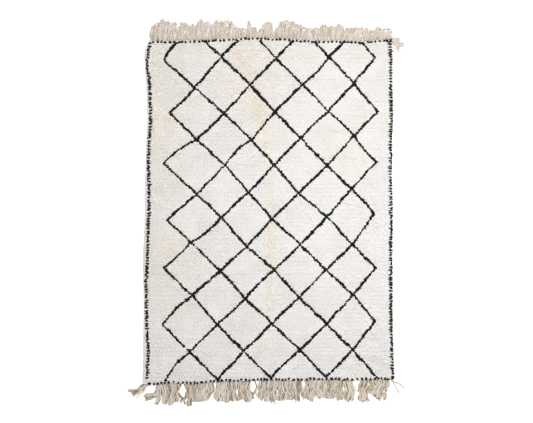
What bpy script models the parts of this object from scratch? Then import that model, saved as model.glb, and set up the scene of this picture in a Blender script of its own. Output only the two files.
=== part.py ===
"""A knotted wool rug of the Beni Ourain kind, lying flat, with a warp fringe at each end.

Metres, +Z up. +X runs across the rug, +Y runs along its warp towards the upper end. The underside lies
on Z = 0, and the middle of the whole rug, fringes included, stands over the origin.

Three solids: the pile field, and a comb of fringe locks along each end of it.
"""

import math
from typing import NamedTuple

import bmesh
import bpy
import numpy as np


class SideStation(NamedTuple):
    """The two selvedges at one place along the rug, measured from the middle of the field."""

    along: float
    left: float
    right: float


class EndStation(NamedTuple):
    """The two woven ends at one place across the rug, measured from the middle of the field."""

    across: float
    lower: float
    upper: float


class RimStation(NamedTuple):
    """One ring of the field's rounded rim: how far in from the outline, and how high."""

    inset: float
    height: float


class Lock(NamedTuple):
    """One lock of fringe: a flattened bunch of warp ends.

    root is its middle on the field's end, width its breadth there, leave the angle at which it sets off
    (0 straight out, positive towards +X), tip and reach its end across the rug and past the field's
    end, and end its breadth there.
    """

    root: float
    width: float
    leave: float
    tip: float
    reach: float
    end: float


# The field
PILE_HEIGHT = 0.020
SHOULDER_HEIGHT = 0.0185
SIDES = (
    SideStation(1.105, -0.768, 0.787),
    SideStation(1.060, -0.787, 0.793),
    SideStation(0.960, -0.797, 0.797),
    SideStation(0.840, -0.787, 0.798),
    SideStation(0.710, -0.781, 0.800),
    SideStation(0.580, -0.778, 0.799),
    SideStation(0.440, -0.785, 0.796),
    SideStation(0.200, -0.793, 0.795),
    SideStation(-0.060, -0.796, 0.799),
    SideStation(-0.320, -0.807, 0.798),
    SideStation(-0.580, -0.802, 0.799),
    SideStation(-0.840, -0.805, 0.803),
    SideStation(-1.105, -0.809, 0.811),
)
ENDS = (
    EndStation(-0.80, -1.119, 1.096),
    EndStation(-0.75, -1.126, 1.097),
    EndStation(-0.66, -1.113, 1.096),
    EndStation(-0.55, -1.117, 1.098),
    EndStation(-0.42, -1.112, 1.101),
    EndStation(-0.30, -1.101, 1.108),
    EndStation(-0.18, -1.100, 1.114),
    EndStation(0.00, -1.094, 1.115),
    EndStation(0.16, -1.095, 1.107),
    EndStation(0.29, -1.092, 1.097),
    EndStation(0.42, -1.089, 1.098),
    EndStation(0.52, -1.096, 1.097),
    EndStation(0.60, -1.093, 1.091),
    EndStation(0.70, -1.089, 1.099),
    EndStation(0.80, -1.088, 1.109),
)
RIM = (
    RimStation(0.0020, 0.0145),
    RimStation(0.0, 0.0070),
    RimStation(0.0030, 0.0),
)
SHOULDER_INSET = 0.009
CELLS_ACROSS = 26
CELLS_ALONG = 36
FITTING_PASSES = 6

# The pile's top is not quite level: two long low waves run across each other
WAVE_HEIGHT = 0.0006
WAVE_LENGTH_ACROSS = 0.37
WAVE_LENGTH_ALONG = 0.52

# The fringes
GAP = 0.0003
BAND_WIDTH = 0.014
BAND_HEIGHT = 0.008
BAND_END_MARGIN = 0.006
LOCK_STATIONS = 6
LOCK_SIDES = 8
LOCK_ROOT_HEIGHT = 0.012
LOCK_TIP_HEIGHT = 0.0065
LEAVE_LENGTH = 0.5
FLOOR_SIZE = 4.0
FLOOR_DEPTH = 0.1

UPPER_LOCKS = (
    Lock(-0.706, 0.120, 0, -0.676, 0.141, 0.046),
    Lock(-0.619, 0.084, 0, -0.612, 0.117, 0.074),
    Lock(-0.546, 0.074, 0, -0.532, 0.116, 0.066),
    Lock(-0.487, 0.060, 0, -0.485, 0.094, 0.050),
    Lock(-0.442, 0.054, 0, -0.430, 0.131, 0.020),
    Lock(-0.384, 0.070, 0, -0.362, 0.107, 0.058),
    Lock(-0.320, 0.072, 0, -0.303, 0.109, 0.062),
    Lock(-0.249, 0.074, 0, -0.245, 0.115, 0.056),
    Lock(-0.204, 0.044, 0, -0.203, 0.074, 0.030),
    Lock(-0.163, 0.056, 0, -0.158, 0.064, 0.042),
    Lock(-0.122, 0.038, 0, -0.115, 0.106, 0.018),
    Lock(-0.088, 0.044, 0, -0.091, 0.056, 0.030),
    Lock(-0.018, 0.110, 0, 0.006, 0.102, 0.036),
    Lock(0.064, 0.062, 0, 0.097, 0.116, 0.030),
    Lock(0.126, 0.070, 0, 0.152, 0.119, 0.040),
    Lock(0.188, 0.064, 0, 0.200, 0.099, 0.048),
    Lock(0.247, 0.062, 0, 0.252, 0.078, 0.044),
    Lock(0.300, 0.062, 0, 0.294, 0.096, 0.046),
    Lock(0.351, 0.056, 0, 0.349, 0.111, 0.042),
    Lock(0.402, 0.060, 0, 0.405, 0.094, 0.048),
    Lock(0.454, 0.056, 0, 0.453, 0.109, 0.032),
    Lock(0.510, 0.068, 0, 0.520, 0.089, 0.058),
    Lock(0.570, 0.066, 0, 0.578, 0.090, 0.058),
    Lock(0.628, 0.066, 0, 0.637, 0.088, 0.056),
    Lock(0.686, 0.066, 0, 0.698, 0.087, 0.056),
    Lock(0.738, 0.060, 0, 0.770, 0.070, 0.044),
    Lock(0.776, 0.012, 72, 0.842, -0.078, 0.048),
    Lock(0.772, 0.012, 74, 0.866, -0.032, 0.024),
)
LOWER_LOCKS = (
    Lock(-0.787, 0.012, -68, -0.900, 0.036, 0.016),
    Lock(-0.785, 0.014, -60, -0.872, 0.076, 0.040),
    Lock(-0.781, 0.012, -50, -0.828, 0.062, 0.022),
    Lock(-0.712, 0.026, 0, -0.808, 0.100, 0.020),
    Lock(-0.698, 0.060, 0, -0.704, 0.126, 0.060),
    Lock(-0.648, 0.062, 0, -0.652, 0.144, 0.046),
    Lock(-0.598, 0.060, 0, -0.606, 0.122, 0.044),
    Lock(-0.538, 0.064, 0, -0.540, 0.142, 0.050),
    Lock(-0.478, 0.062, 0, -0.484, 0.121, 0.048),
    Lock(-0.426, 0.060, 0, -0.426, 0.119, 0.046),
    Lock(-0.376, 0.050, 0, -0.374, 0.096, 0.028),
    Lock(-0.316, 0.060, 0, -0.320, 0.126, 0.046),
    Lock(-0.265, 0.062, 0, -0.270, 0.138, 0.048),
    Lock(-0.207, 0.070, 0, -0.196, 0.128, 0.058),
    Lock(-0.144, 0.064, 0, -0.134, 0.134, 0.044),
    Lock(-0.032, 0.068, 0, -0.030, 0.132, 0.056),
    Lock(0.026, 0.066, 0, 0.026, 0.148, 0.046),
    Lock(0.086, 0.068, 0, 0.090, 0.132, 0.058),
    Lock(0.146, 0.066, 0, 0.152, 0.130, 0.056),
    Lock(0.198, 0.050, 0, 0.196, 0.140, 0.032),
    Lock(0.264, 0.070, 0, 0.270, 0.130, 0.060),
    Lock(0.328, 0.070, 0, 0.334, 0.122, 0.062),
    Lock(0.394, 0.072, 0, 0.402, 0.125, 0.064),
    Lock(0.456, 0.068, 0, 0.470, 0.127, 0.060),
    Lock(0.515, 0.062, 0, 0.538, 0.138, 0.036),
    Lock(0.620, 0.062, 0, 0.606, 0.140, 0.046),
    Lock(0.680, 0.072, 0, 0.674, 0.112, 0.062),
    Lock(0.740, 0.074, 0, 0.722, 0.129, 0.066),
    Lock(0.778, 0.008, 52, 0.874, 0.064, 0.008),
    Lock(0.778, 0.008, 52, 0.842, 0.098, 0.008),
)

# Finishes: linear colour and roughness
IVORY_WOOL = (0.80, 0.77, 0.71)
BEIGE_WARP = (0.60, 0.51, 0.40)
WOOL_ROUGHNESS = 0.92


def clear_scene() -> None:
    """Remove every object that the open file starts with."""
    for existing in list(bpy.data.objects):
        bpy.data.objects.remove(existing, do_unlink=True)


def wool_finish(name: str, colour: tuple[float, float, float]) -> bpy.types.Material:
    """Return a plain matt wool finish of one colour."""
    finish = bpy.data.materials.new(name)
    finish.use_nodes = True
    shader = finish.node_tree.nodes["Principled BSDF"]
    shader.inputs["Base Color"].default_value = (*colour, 1.0)
    shader.inputs["Roughness"].default_value = WOOL_ROUGHNESS
    shader.inputs["Metallic"].default_value = 0.0
    return finish


def smooth_curve(stations: np.ndarray, values: np.ndarray, at: np.ndarray) -> np.ndarray:
    """Read a smooth curve through rising stations at the given places.

    Between two stations it is the cubic that leaves each one at the mean slope of its two neighbours.
    """
    slopes = np.gradient(values, stations)
    at = np.clip(at, stations[0], stations[-1])
    cell = np.clip(np.searchsorted(stations, at) - 1, 0, len(stations) - 2)
    span = stations[cell + 1] - stations[cell]
    t = (at - stations[cell]) / span
    return (
        values[cell] * (1 + 2 * t) * (1 - t) ** 2
        + values[cell + 1] * t**2 * (3 - 2 * t)
        + slopes[cell] * span * t * (1 - t) ** 2
        + slopes[cell + 1] * span * t**2 * (t - 1)
    )


def side_edges(along: np.ndarray) -> tuple[np.ndarray, np.ndarray]:
    """Return the left and right selvedge's place across the rug."""
    rows = np.array(sorted(SIDES))
    return smooth_curve(rows[:, 0], rows[:, 1], along), smooth_curve(rows[:, 0], rows[:, 2], along)


def end_edges(across: np.ndarray) -> tuple[np.ndarray, np.ndarray]:
    """Return the lower and upper end's place along the rug."""
    rows = np.array(ENDS)
    return smooth_curve(rows[:, 0], rows[:, 1], across), smooth_curve(rows[:, 0], rows[:, 2], across)


def field_plan() -> np.ndarray:
    """Return the plan grid of the field: rows along the rug, columns across it, then X and Y.

    Each point is a fixed share of the way from left to right and from the lower end to the upper end.
    The two edges of a row depend on its columns and the other way round, so a few passes settle them.
    """
    shares = np.linspace(0, 1, CELLS_ACROSS + 1), np.linspace(0, 1, CELLS_ALONG + 1)
    across_share, along_share = np.meshgrid(*shares)
    x, y = np.zeros_like(across_share), np.zeros_like(along_share)
    for _ in range(FITTING_PASSES):
        lower, upper = end_edges(x)
        y = lower + (upper - lower) * along_share
        left, right = side_edges(y)
        x = left + (right - left) * across_share
    return np.stack((x, y), axis=-1)


def border_cells(rows: int, columns: int) -> list[tuple[int, int]]:
    """Return the grid places round the border, anticlockwise from the lower left corner."""
    lower = [(0, column) for column in range(columns)]
    right = [(row, columns - 1) for row in range(1, rows)]
    upper = [(rows - 1, column) for column in range(columns - 2, -1, -1)]
    left = [(row, 0) for row in range(rows - 2, 0, -1)]
    return lower + right + upper + left


def inward(outline: np.ndarray) -> np.ndarray:
    """Return the unit inward direction at each point of an anticlockwise closed outline."""
    tangent = np.roll(outline, -1, axis=0) - np.roll(outline, 1, axis=0)
    tangent /= np.linalg.norm(tangent, axis=1, keepdims=True)
    return np.stack((-tangent[:, 1], tangent[:, 0]), axis=1)


def pile_top(x: np.ndarray, y: np.ndarray) -> np.ndarray:
    """Return the pile's height: level, with two long low waves that cross each other."""
    first = np.sin(math.tau * (x / WAVE_LENGTH_ACROSS + y / WAVE_LENGTH_ALONG))
    second = np.sin(math.tau * (y / WAVE_LENGTH_ACROSS - x / WAVE_LENGTH_ALONG))
    return PILE_HEIGHT - 2 * WAVE_HEIGHT + WAVE_HEIGHT * (first + second)


def add_object(name: str, mesh: bpy.types.Mesh, finish: bpy.types.Material) -> bpy.types.Object:
    """Put a mesh into the scene as one named object with one finish."""
    mesh.materials.append(finish)
    piece = bpy.data.objects.new(name, mesh)
    bpy.context.scene.collection.objects.link(piece)
    return piece


def build_field(finish: bpy.types.Material) -> bpy.types.Object:
    """Make the field: a gently uneven top, a rounded rim of three rings and a flat underside."""
    plan = field_plan()
    rows, columns = plan.shape[:2]
    border = border_cells(rows, columns)
    outline = np.array([plan[cell] for cell in border])
    direction = inward(outline)
    top = np.concatenate((plan, pile_top(plan[..., 0], plan[..., 1])[..., None]), axis=-1)
    for cell, point, way in zip(border, outline, direction):
        top[cell] = (*(point + way * SHOULDER_INSET), SHOULDER_HEIGHT)

    form = bmesh.new()
    grid = [[form.verts.new(point) for point in row] for row in top]
    for row in range(rows - 1):
        for column in range(columns - 1):
            form.faces.new(
                (grid[row][column], grid[row][column + 1], grid[row + 1][column + 1], grid[row + 1][column])
            )
    above = [grid[row][column] for row, column in border]
    for station in RIM:
        ring = [form.verts.new((*point, station.height)) for point in outline + direction * station.inset]
        for index in range(len(ring)):
            form.faces.new((above[index], ring[index], ring[index - 1], above[index - 1]))
        above = ring
    form.faces.new(above[::-1])
    bmesh.ops.recalc_face_normals(form, faces=form.faces)
    mesh = bpy.data.meshes.new("pile_field")
    form.to_mesh(mesh)
    form.free()
    mesh.shade_smooth()
    return add_object("pile_field", mesh, finish)


def loft(form: bmesh.types.BMesh, sections: np.ndarray) -> None:
    """Add a closed solid through a row of closed sections, each a ring of the same number of points."""
    rings = [[form.verts.new(point) for point in section] for section in sections]
    for ring, following in zip(rings, rings[1:]):
        for index in range(len(ring)):
            after = (index + 1) % len(ring)
            form.faces.new((ring[index], ring[after], following[after], following[index]))
    form.faces.new(rings[0][::-1])
    form.faces.new(rings[-1])


def lock_sections(lock: Lock, end_line: float, side: int) -> np.ndarray:
    """Return the sections of one lock, root to tip.

    Its middle line is a quadratic curve on the floor: from the root it sets off at the lock's own angle
    and bends round to the tip. Each section is an ellipse round that line and square to it, of which the
    floor later takes the lower half away.
    """
    leave = math.radians(lock.leave)
    start = np.array((lock.root, end_line + side * BAND_WIDTH / 2))
    tip = np.array((lock.tip, end_line + side * lock.reach))
    way_out = np.array((math.sin(leave), side * math.cos(leave)))
    knee = start + way_out * LEAVE_LENGTH * np.linalg.norm(tip - start)
    t = np.linspace(0, 1, LOCK_STATIONS)[:, None]
    line = start * (1 - t) ** 2 + knee * 2 * t * (1 - t) + tip * t**2
    tangent = (knee - start) * (1 - t) + (tip - knee) * t
    tangent /= np.linalg.norm(tangent, axis=1, keepdims=True)
    across = np.stack((side * tangent[:, 1], -side * tangent[:, 0]), axis=1)
    half_width = (lock.width + (lock.end - lock.width) * t) / 2
    height = LOCK_ROOT_HEIGHT + (LOCK_TIP_HEIGHT - LOCK_ROOT_HEIGHT) * t
    turn = (np.arange(LOCK_SIDES)[None, :] + 0.5) * math.tau / LOCK_SIDES
    offset = half_width * np.cos(turn)
    plan = line[:, None, :] + across[:, None, :] * offset[..., None]
    return np.concatenate((plan, (height * np.sin(turn))[..., None]), axis=-1)


def band_sections(end_row: np.ndarray, side: int) -> np.ndarray:
    """Return the sections of the narrow band that the locks spring from, along the field's end row."""
    x, y = end_row.T.copy()
    for corner, neighbour in ((0, 1), (-1, -2)):
        share = BAND_END_MARGIN / abs(x[neighbour] - x[corner])
        x[corner] += (x[neighbour] - x[corner]) * share
        y[corner] += (y[neighbour] - y[corner]) * share
    near, far = y + side * GAP, y + side * BAND_WIDTH
    low, high = np.full_like(x, -BAND_HEIGHT), np.full_like(x, BAND_HEIGHT)
    corners = ((near, low), (far, low), (far, high), (near, high))
    return np.stack([np.stack((x, y, z), axis=-1) for y, z in corners], axis=1)


def solid_of(name: str, lofts: list[np.ndarray], finish: bpy.types.Material) -> bpy.types.Object:
    """Make one object of closed lofts, each given by its sections."""
    form = bmesh.new()
    for sections in lofts:
        loft(form, sections)
    bmesh.ops.recalc_face_normals(form, faces=form.faces)
    mesh = bpy.data.meshes.new(name)
    form.to_mesh(mesh)
    form.free()
    return add_object(name, mesh, finish)


def as_guide(piece: bpy.types.Object) -> bpy.types.Object:
    """Turn a piece into a guide for a Boolean, which is no part of the rug."""
    piece.hide_render = True
    piece.display_type = "WIRE"
    return piece


def floor_sections() -> np.ndarray:
    """Return the two ends of a block whose top is the floor."""
    corners = ((-1, -1), (1, -1), (1, 0), (-1, 0))
    ring = np.array([(x * FLOOR_SIZE / 2, 0.0, z * FLOOR_DEPTH) for x, z in corners])
    return np.stack((ring - (0, FLOOR_SIZE / 2, 0), ring + (0, FLOOR_SIZE / 2, 0)))


def combine(piece: bpy.types.Object, guide: bpy.types.Object, operation: str) -> None:
    """Unite a piece with a guide, or cut the guide away from it."""
    step = piece.modifiers.new(operation.lower(), "BOOLEAN")
    step.operation = operation
    step.solver = "EXACT"
    step.use_self = operation == "UNION"
    step.object = guide


def outermost_edge(lock: Lock, end_row: np.ndarray, side: int) -> float:
    """Return how far along the rug the field's end reaches within the breadth of a lock's root."""
    places = lock.root + np.array((-lock.width, 0.0, lock.width)) / 2
    return side * float(np.max(side * np.interp(places, end_row[:, 0], end_row[:, 1])))


def build_fringe(
    name: str, locks: tuple[Lock, ...], side: int, floor: bpy.types.Object, finish: bpy.types.Material
) -> bpy.types.Object:
    """Make one comb: the band along the field's end, united with every lock and cut flat at the floor.

    side is +1 at the upper end of the rug and -1 at the lower end.
    """
    end_row = field_plan()[-1 if side > 0 else 0]
    lofts = [lock_sections(lock, outermost_edge(lock, end_row, side), side) for lock in locks]
    bunches = as_guide(solid_of(f"{name}_locks", lofts, finish))
    comb = solid_of(name, [band_sections(end_row, side)], finish)
    combine(comb, bunches, "UNION")
    combine(comb, floor, "DIFFERENCE")
    return comb


def centre_over_origin(pieces: list[bpy.types.Object]) -> None:
    """Hang the pieces under an empty, and move it so that the whole rug's plan is centred."""
    depsgraph = bpy.context.evaluated_depsgraph_get()
    corners = []
    for piece in pieces:
        evaluated = piece.evaluated_get(depsgraph)
        corners.extend(evaluated.bound_box)
    corners = np.array([tuple(corner) for corner in corners])
    middle = (corners.min(axis=0) + corners.max(axis=0)) / 2
    base = bpy.data.objects.new("rug", None)
    bpy.context.scene.collection.objects.link(base)
    base.location = (-middle[0], -middle[1], 0.0)
    for piece in bpy.data.objects:
        if piece is not base:
            piece.parent = base


def main() -> None:
    """Build the rug."""
    clear_scene()
    ivory = wool_finish("ivory_pile_wool", IVORY_WOOL)
    beige = wool_finish("beige_warp_wool", BEIGE_WARP)
    field = build_field(ivory)
    floor = as_guide(solid_of("floor", [floor_sections()], beige))
    upper = build_fringe("fringe_upper", UPPER_LOCKS, 1, floor, beige)
    lower = build_fringe("fringe_lower", LOWER_LOCKS, -1, floor, beige)
    centre_over_origin([field, upper, lower])


main()
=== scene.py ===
"""A knotted wool rug of the Beni Ourain kind, lying flat: its looks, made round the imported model.

Metres, +Z up. +X runs across the rug and +Y along its warp, towards the end that is uppermost when it is
seen from straight above. The tables of places are in the weaver's frame, whose origin is the middle of
the knotted field; MIDDLE_OF_FIELD takes them to the model's.

The real rug is a flat ground weave of ivory wool, thick with rows of knots. Each knot is a short lock of
loosely spun yarn that stands up and falls over towards one end. Here the ground weave is one thin closed
sheet, the knots are tufts, each a mesh of its own and a little coarser than a real one, and the warp ends
of the two fringes are cords, with loose hairs where they untwist.
"""

import logging
import math
from dataclasses import dataclass, fields
from enum import Enum
from functools import partial
from itertools import starmap
from typing import ClassVar, NamedTuple

import bpy
import numpy as np
from bpy.types import Material, Node, NodeSocket, NodeTree, Object
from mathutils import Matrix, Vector


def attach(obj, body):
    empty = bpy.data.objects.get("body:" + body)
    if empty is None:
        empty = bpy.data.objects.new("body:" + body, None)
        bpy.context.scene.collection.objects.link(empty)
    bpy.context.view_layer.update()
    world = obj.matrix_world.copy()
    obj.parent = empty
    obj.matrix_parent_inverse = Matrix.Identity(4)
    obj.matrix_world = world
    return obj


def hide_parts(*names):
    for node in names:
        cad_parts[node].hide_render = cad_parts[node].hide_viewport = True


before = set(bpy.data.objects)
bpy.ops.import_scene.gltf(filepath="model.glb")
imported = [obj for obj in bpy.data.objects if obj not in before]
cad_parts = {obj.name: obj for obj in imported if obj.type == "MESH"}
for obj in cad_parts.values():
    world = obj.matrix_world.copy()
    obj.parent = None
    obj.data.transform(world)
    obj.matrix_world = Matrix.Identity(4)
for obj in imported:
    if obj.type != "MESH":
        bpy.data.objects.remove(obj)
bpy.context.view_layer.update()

# A pair is a place's X and Y, or the least and the most of something; a draw gives random numbers
Array = np.ndarray
Draw = np.random.Generator
Pair = tuple[float, float]
Inputs = dict[str | int, object] | tuple[object, ...]

LOG = logging.getLogger("rug")
BODY = "root"
WHITE = "FFFFFF"
STRAND_MAP = "strand"
BAKE_MAP = "OFBake"
FULL_TURN = math.tau

# The sockets of a mix node that it uses for colours: how much of the second, the two, and the result
MIX_AMOUNT, MIX_FIRST, MIX_SECOND, MIX_RESULT = 0, 6, 7, 2

# Nearly all of a noise texture's values lie between these
NOISE_RANGE = (0.3, 0.7)

# The weaver's origin, in the model's frame
MIDDLE_OF_FIELD = (0.0126, 0.0078)

# The least height of any yarn above the floor
FLOOR_GAP = 0.0001


class Yarn(Enum):
    """The two colours of wool that the pile is knotted from."""

    IVORY = "ivory"
    DARK = "dark"


class End(Enum):
    """The two woven ends. The value is the way each one faces along Y."""

    UPPER = 1
    LOWER = -1


class CrossingRow(NamedTuple):
    """One row of the lattice's crossings, from left to right."""

    across: tuple[float, ...]
    along: tuple[float, ...]


class Bow(NamedTuple):
    """A lattice line that bends: the row it leaves, its two ends there and below, and how far to +X."""

    row: int
    start: int
    end: int
    sideways: float


class Swell(NamedTuple):
    """A place where the lattice lines are thicker or, below zero, thinner."""

    across: float
    along: float
    radius: float
    extra: float


class Station(NamedTuple):
    """Where a side border runs at one place along the rug."""

    along: float
    across: float


class Parting(NamedTuple):
    """A crease where the pile leans apart and sinks, and its tufts are coloured warmer and a little darker.
    """

    start: Pair
    end: Pair
    breadth: float
    warmth: float


class Cloud(NamedTuple):
    """A broad soft patch where the wool is warmer."""

    across: float
    along: float
    half_across: float
    half_along: float
    warmth: float


class Lock(NamedTuple):
    """One bunch of warp ends.

    root is its middle on the field's end, width its breadth there, leave the angle at which it sets off
    (0 straight out, positive towards +X), tip and reach its end across the rug and past the field's
    end, and end its breadth there.
    """

    root: float
    width: float
    leave: float
    tip: float
    reach: float
    end: float


# Where the lattice's lines end on the upper border, then its rows of crossings from there down
UPPER_ENDS = CrossingRow((-0.56, -0.417, -0.2, -0.055, 0.155, 0.289, 0.495, 0.585), (1.093,) * 8)
CROSSINGS = tuple(starmap(CrossingRow, (
    ((-0.672, -0.305, 0.048, 0.389, 0.689), (0.964, 0.992, 0.981, 0.992, 0.987)),
    ((-0.477, -0.12, 0.22, 0.548), (0.792, 0.809, 0.812, 0.82)),
    ((-0.639, -0.285, 0.039, 0.383, 0.703), (0.635, 0.624, 0.637, 0.64, 0.635)),
    ((-0.466, -0.111, 0.203, 0.553), (0.455, 0.455, 0.466, 0.485)),
    ((-0.677, -0.28, 0.037, 0.38, 0.695), (0.304, 0.293, 0.291, 0.288, 0.313)),
    ((-0.466, -0.13, 0.192, 0.535), (0.102, 0.116, 0.113, 0.139)),
    ((-0.659, -0.305, 0.023, 0.378, 0.683), (-0.063, -0.046, -0.057, -0.043, -0.021)),
    ((-0.497, -0.143, 0.203, 0.539), (-0.208, -0.234, -0.221, -0.221)),
    ((-0.677, -0.314, 0.037, 0.372, 0.689), (-0.374, -0.39, -0.386, -0.386, -0.374)),
    ((-0.494, -0.148, 0.195, 0.546), (-0.55, -0.573, -0.563, -0.545)),
    ((-0.683, -0.331, 0.022, 0.375, 0.686), (-0.739, -0.739, -0.731, -0.731, -0.716)),
    ((-0.511, -0.159, 0.203, 0.542), (-0.916, -0.911, -0.903, -0.902)),
    ((-0.666, -0.33, 0.019, 0.369, 0.698), (-1.1, -1.091, -1.083, -1.077, -1.077)),
)))
BOWS = tuple(starmap(Bow, (
    (0, 0, 0, -0.02), (1, 3, 2, 0.011), (2, 0, 0, 0.01), (4, 0, 0, -0.012), (4, 1, 1, -0.014),
    (4, 3, 4, -0.011), (7, 1, 0, 0.01), (9, 2, 1, -0.011), (10, 0, 0, -0.01), (12, 0, 0, -0.014),
    (12, 2, 2, -0.01),
)))
SWELLS = tuple(starmap(Swell, (
    (-0.63, 1.03, 0.08, 0.008), (-0.28, 0.955, 0.05, 0.008), (-0.08, 0.765, 0.06, 0.012),
    (-0.462, -0.229, 0.03, -0.008), (-0.533, -0.893, 0.03, -0.008), (-0.152, -0.913, 0.03, -0.008),
)))
LEFT_BORDER = tuple(starmap(Station, (
    (-1.1, -0.785), (-0.93, -0.777), (-0.76, -0.786), (-0.42, -0.79), (-0.34, -0.783), (-0.14, -0.778),
    (0.02, -0.771), (0.17, -0.771), (0.3, -0.777), (0.43, -0.773), (0.55, -0.763), (0.69, -0.763),
    (0.84, -0.771), (0.945, -0.787), (1.05, -0.771), (1.09, -0.762),
)))
RIGHT_BORDER = tuple(starmap(Station, (
    (-1.09, 0.808), (-1.02, 0.806), (-0.93, 0.798), (-0.8, 0.795), (-0.65, 0.792), (-0.48, 0.798),
    (-0.33, 0.79), (-0.19, 0.793), (0.0, 0.798), (0.22, 0.791), (0.48, 0.791), (0.635, 0.803), (0.81, 0.791),
    (0.95, 0.796), (1.09, 0.792),
)))
PARTINGS = tuple(starmap(Parting, (
    ((-0.2, 1.035), (-0.104, 0.842), 0.04, 0.38), ((-0.08, 0.76), (-0.055, 0.6), 0.042, 0.42),
    ((-0.055, 0.6), (0.009, 0.293), 0.04, 0.5), ((0.009, 0.293), (0.017, -0.1), 0.03, 0.36),
    ((0.017, -0.1), (0.01, -0.642), 0.036, 0.46), ((-0.05, -0.66), (-0.075, -0.96), 0.026, 0.28),
    ((0.365, 0.535), (0.48, 0.496), 0.006, 0.95), ((0.35, 0.349), (0.425, 0.35), 0.006, 0.8),
    ((0.47, 0.352), (0.625, 0.325), 0.007, 0.6), ((-0.225, 0.31), (-0.088, 0.287), 0.006, 0.9),
    ((-0.249, -0.448), (-0.152, -0.48), 0.005, 0.9), ((0.46, 0.061), (0.606, 0.02), 0.006, 0.85),
    ((0.5, 0.619), (0.63, 0.608), 0.006, 0.85), ((-0.765, -0.41), (-0.62, -0.41), 0.007, 0.6),
)))
CLOUDS = tuple(starmap(Cloud, (
    (-0.66, 0.55, 0.16, 0.4, 0.35), (-0.12, 0.75, 0.22, 0.35, 0.3), (0.47, 0.43, 0.2, 0.16, 0.3),
    (-0.6, -0.35, 0.2, 0.25, 0.2), (0.02, -0.2, 0.12, 0.5, 0.1), (-0.85, 0.1, 0.25, 1.6, 0.22),
    (-0.2, 1.15, 0.8, 0.32, 0.3), (-0.42, -0.5, 0.45, 0.6, 0.1), (0.55, -0.8, 0.35, 0.4, 0.06),
)))

# The fringes' bunches, from left to right, with the small ones that make up the corners' splayed tufts
UPPER_LOCKS = tuple(starmap(Lock, (
    (-0.746, 0.044, 0, -0.736, 0.088, 0.036), (-0.714, 0.06, -2, -0.704, 0.12, 0.04),
    (-0.682, 0.06, -4, -0.678, 0.144, 0.028), (-0.654, 0.046, -6, -0.646, 0.112, 0.04),
    (-0.619, 0.084, -6, -0.604, 0.119, 0.07), (-0.546, 0.074, -8, -0.522, 0.117, 0.062),
    (-0.487, 0.068, -6, -0.474, 0.1, 0.056), (-0.442, 0.066, -4, -0.432, 0.138, 0.012),
    (-0.392, 0.084, -8, -0.36, 0.107, 0.066), (-0.326, 0.074, -10, -0.29, 0.112, 0.06),
    (-0.256, 0.076, -10, -0.222, 0.11, 0.05), (-0.208, 0.048, -4, -0.192, 0.066, 0.034),
    (-0.163, 0.056, 0, -0.158, 0.064, 0.042), (-0.124, 0.034, 4, -0.124, 0.116, 0.01),
    (-0.088, 0.05, 0, -0.088, 0.07, 0.034), (-0.012, 0.116, 0, 0.012, 0.104, 0.024),
    (0.052, 0.04, 0, 0.054, 0.062, 0.036), (0.084, 0.05, 0, 0.107, 0.116, 0.024),
    (0.126, 0.07, 0, 0.152, 0.119, 0.04), (0.188, 0.064, 0, 0.2, 0.099, 0.048),
    (0.247, 0.062, 0, 0.252, 0.078, 0.044), (0.3, 0.066, 0, 0.296, 0.086, 0.05),
    (0.351, 0.062, 0, 0.349, 0.108, 0.042), (0.398, 0.066, 0, 0.402, 0.096, 0.054),
    (0.428, 0.044, 0, 0.428, 0.094, 0.04), (0.462, 0.062, 0, 0.458, 0.11, 0.03),
    (0.51, 0.068, 4, 0.526, 0.084, 0.056), (0.566, 0.07, 6, 0.59, 0.084, 0.066),
    (0.628, 0.066, 8, 0.658, 0.08, 0.056), (0.688, 0.07, 12, 0.73, 0.076, 0.06),
    (0.744, 0.066, 16, 0.798, 0.052, 0.04), (0.784, 0.02, 84, 0.85, -0.004, 0.018),
    (0.784, 0.024, 98, 0.874, -0.044, 0.026), (0.784, 0.024, 106, 0.864, -0.092, 0.03),
    (0.784, 0.024, 120, 0.834, -0.098, 0.03), (0.784, 0.024, 104, 0.846, -0.056, 0.034),
)))
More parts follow.
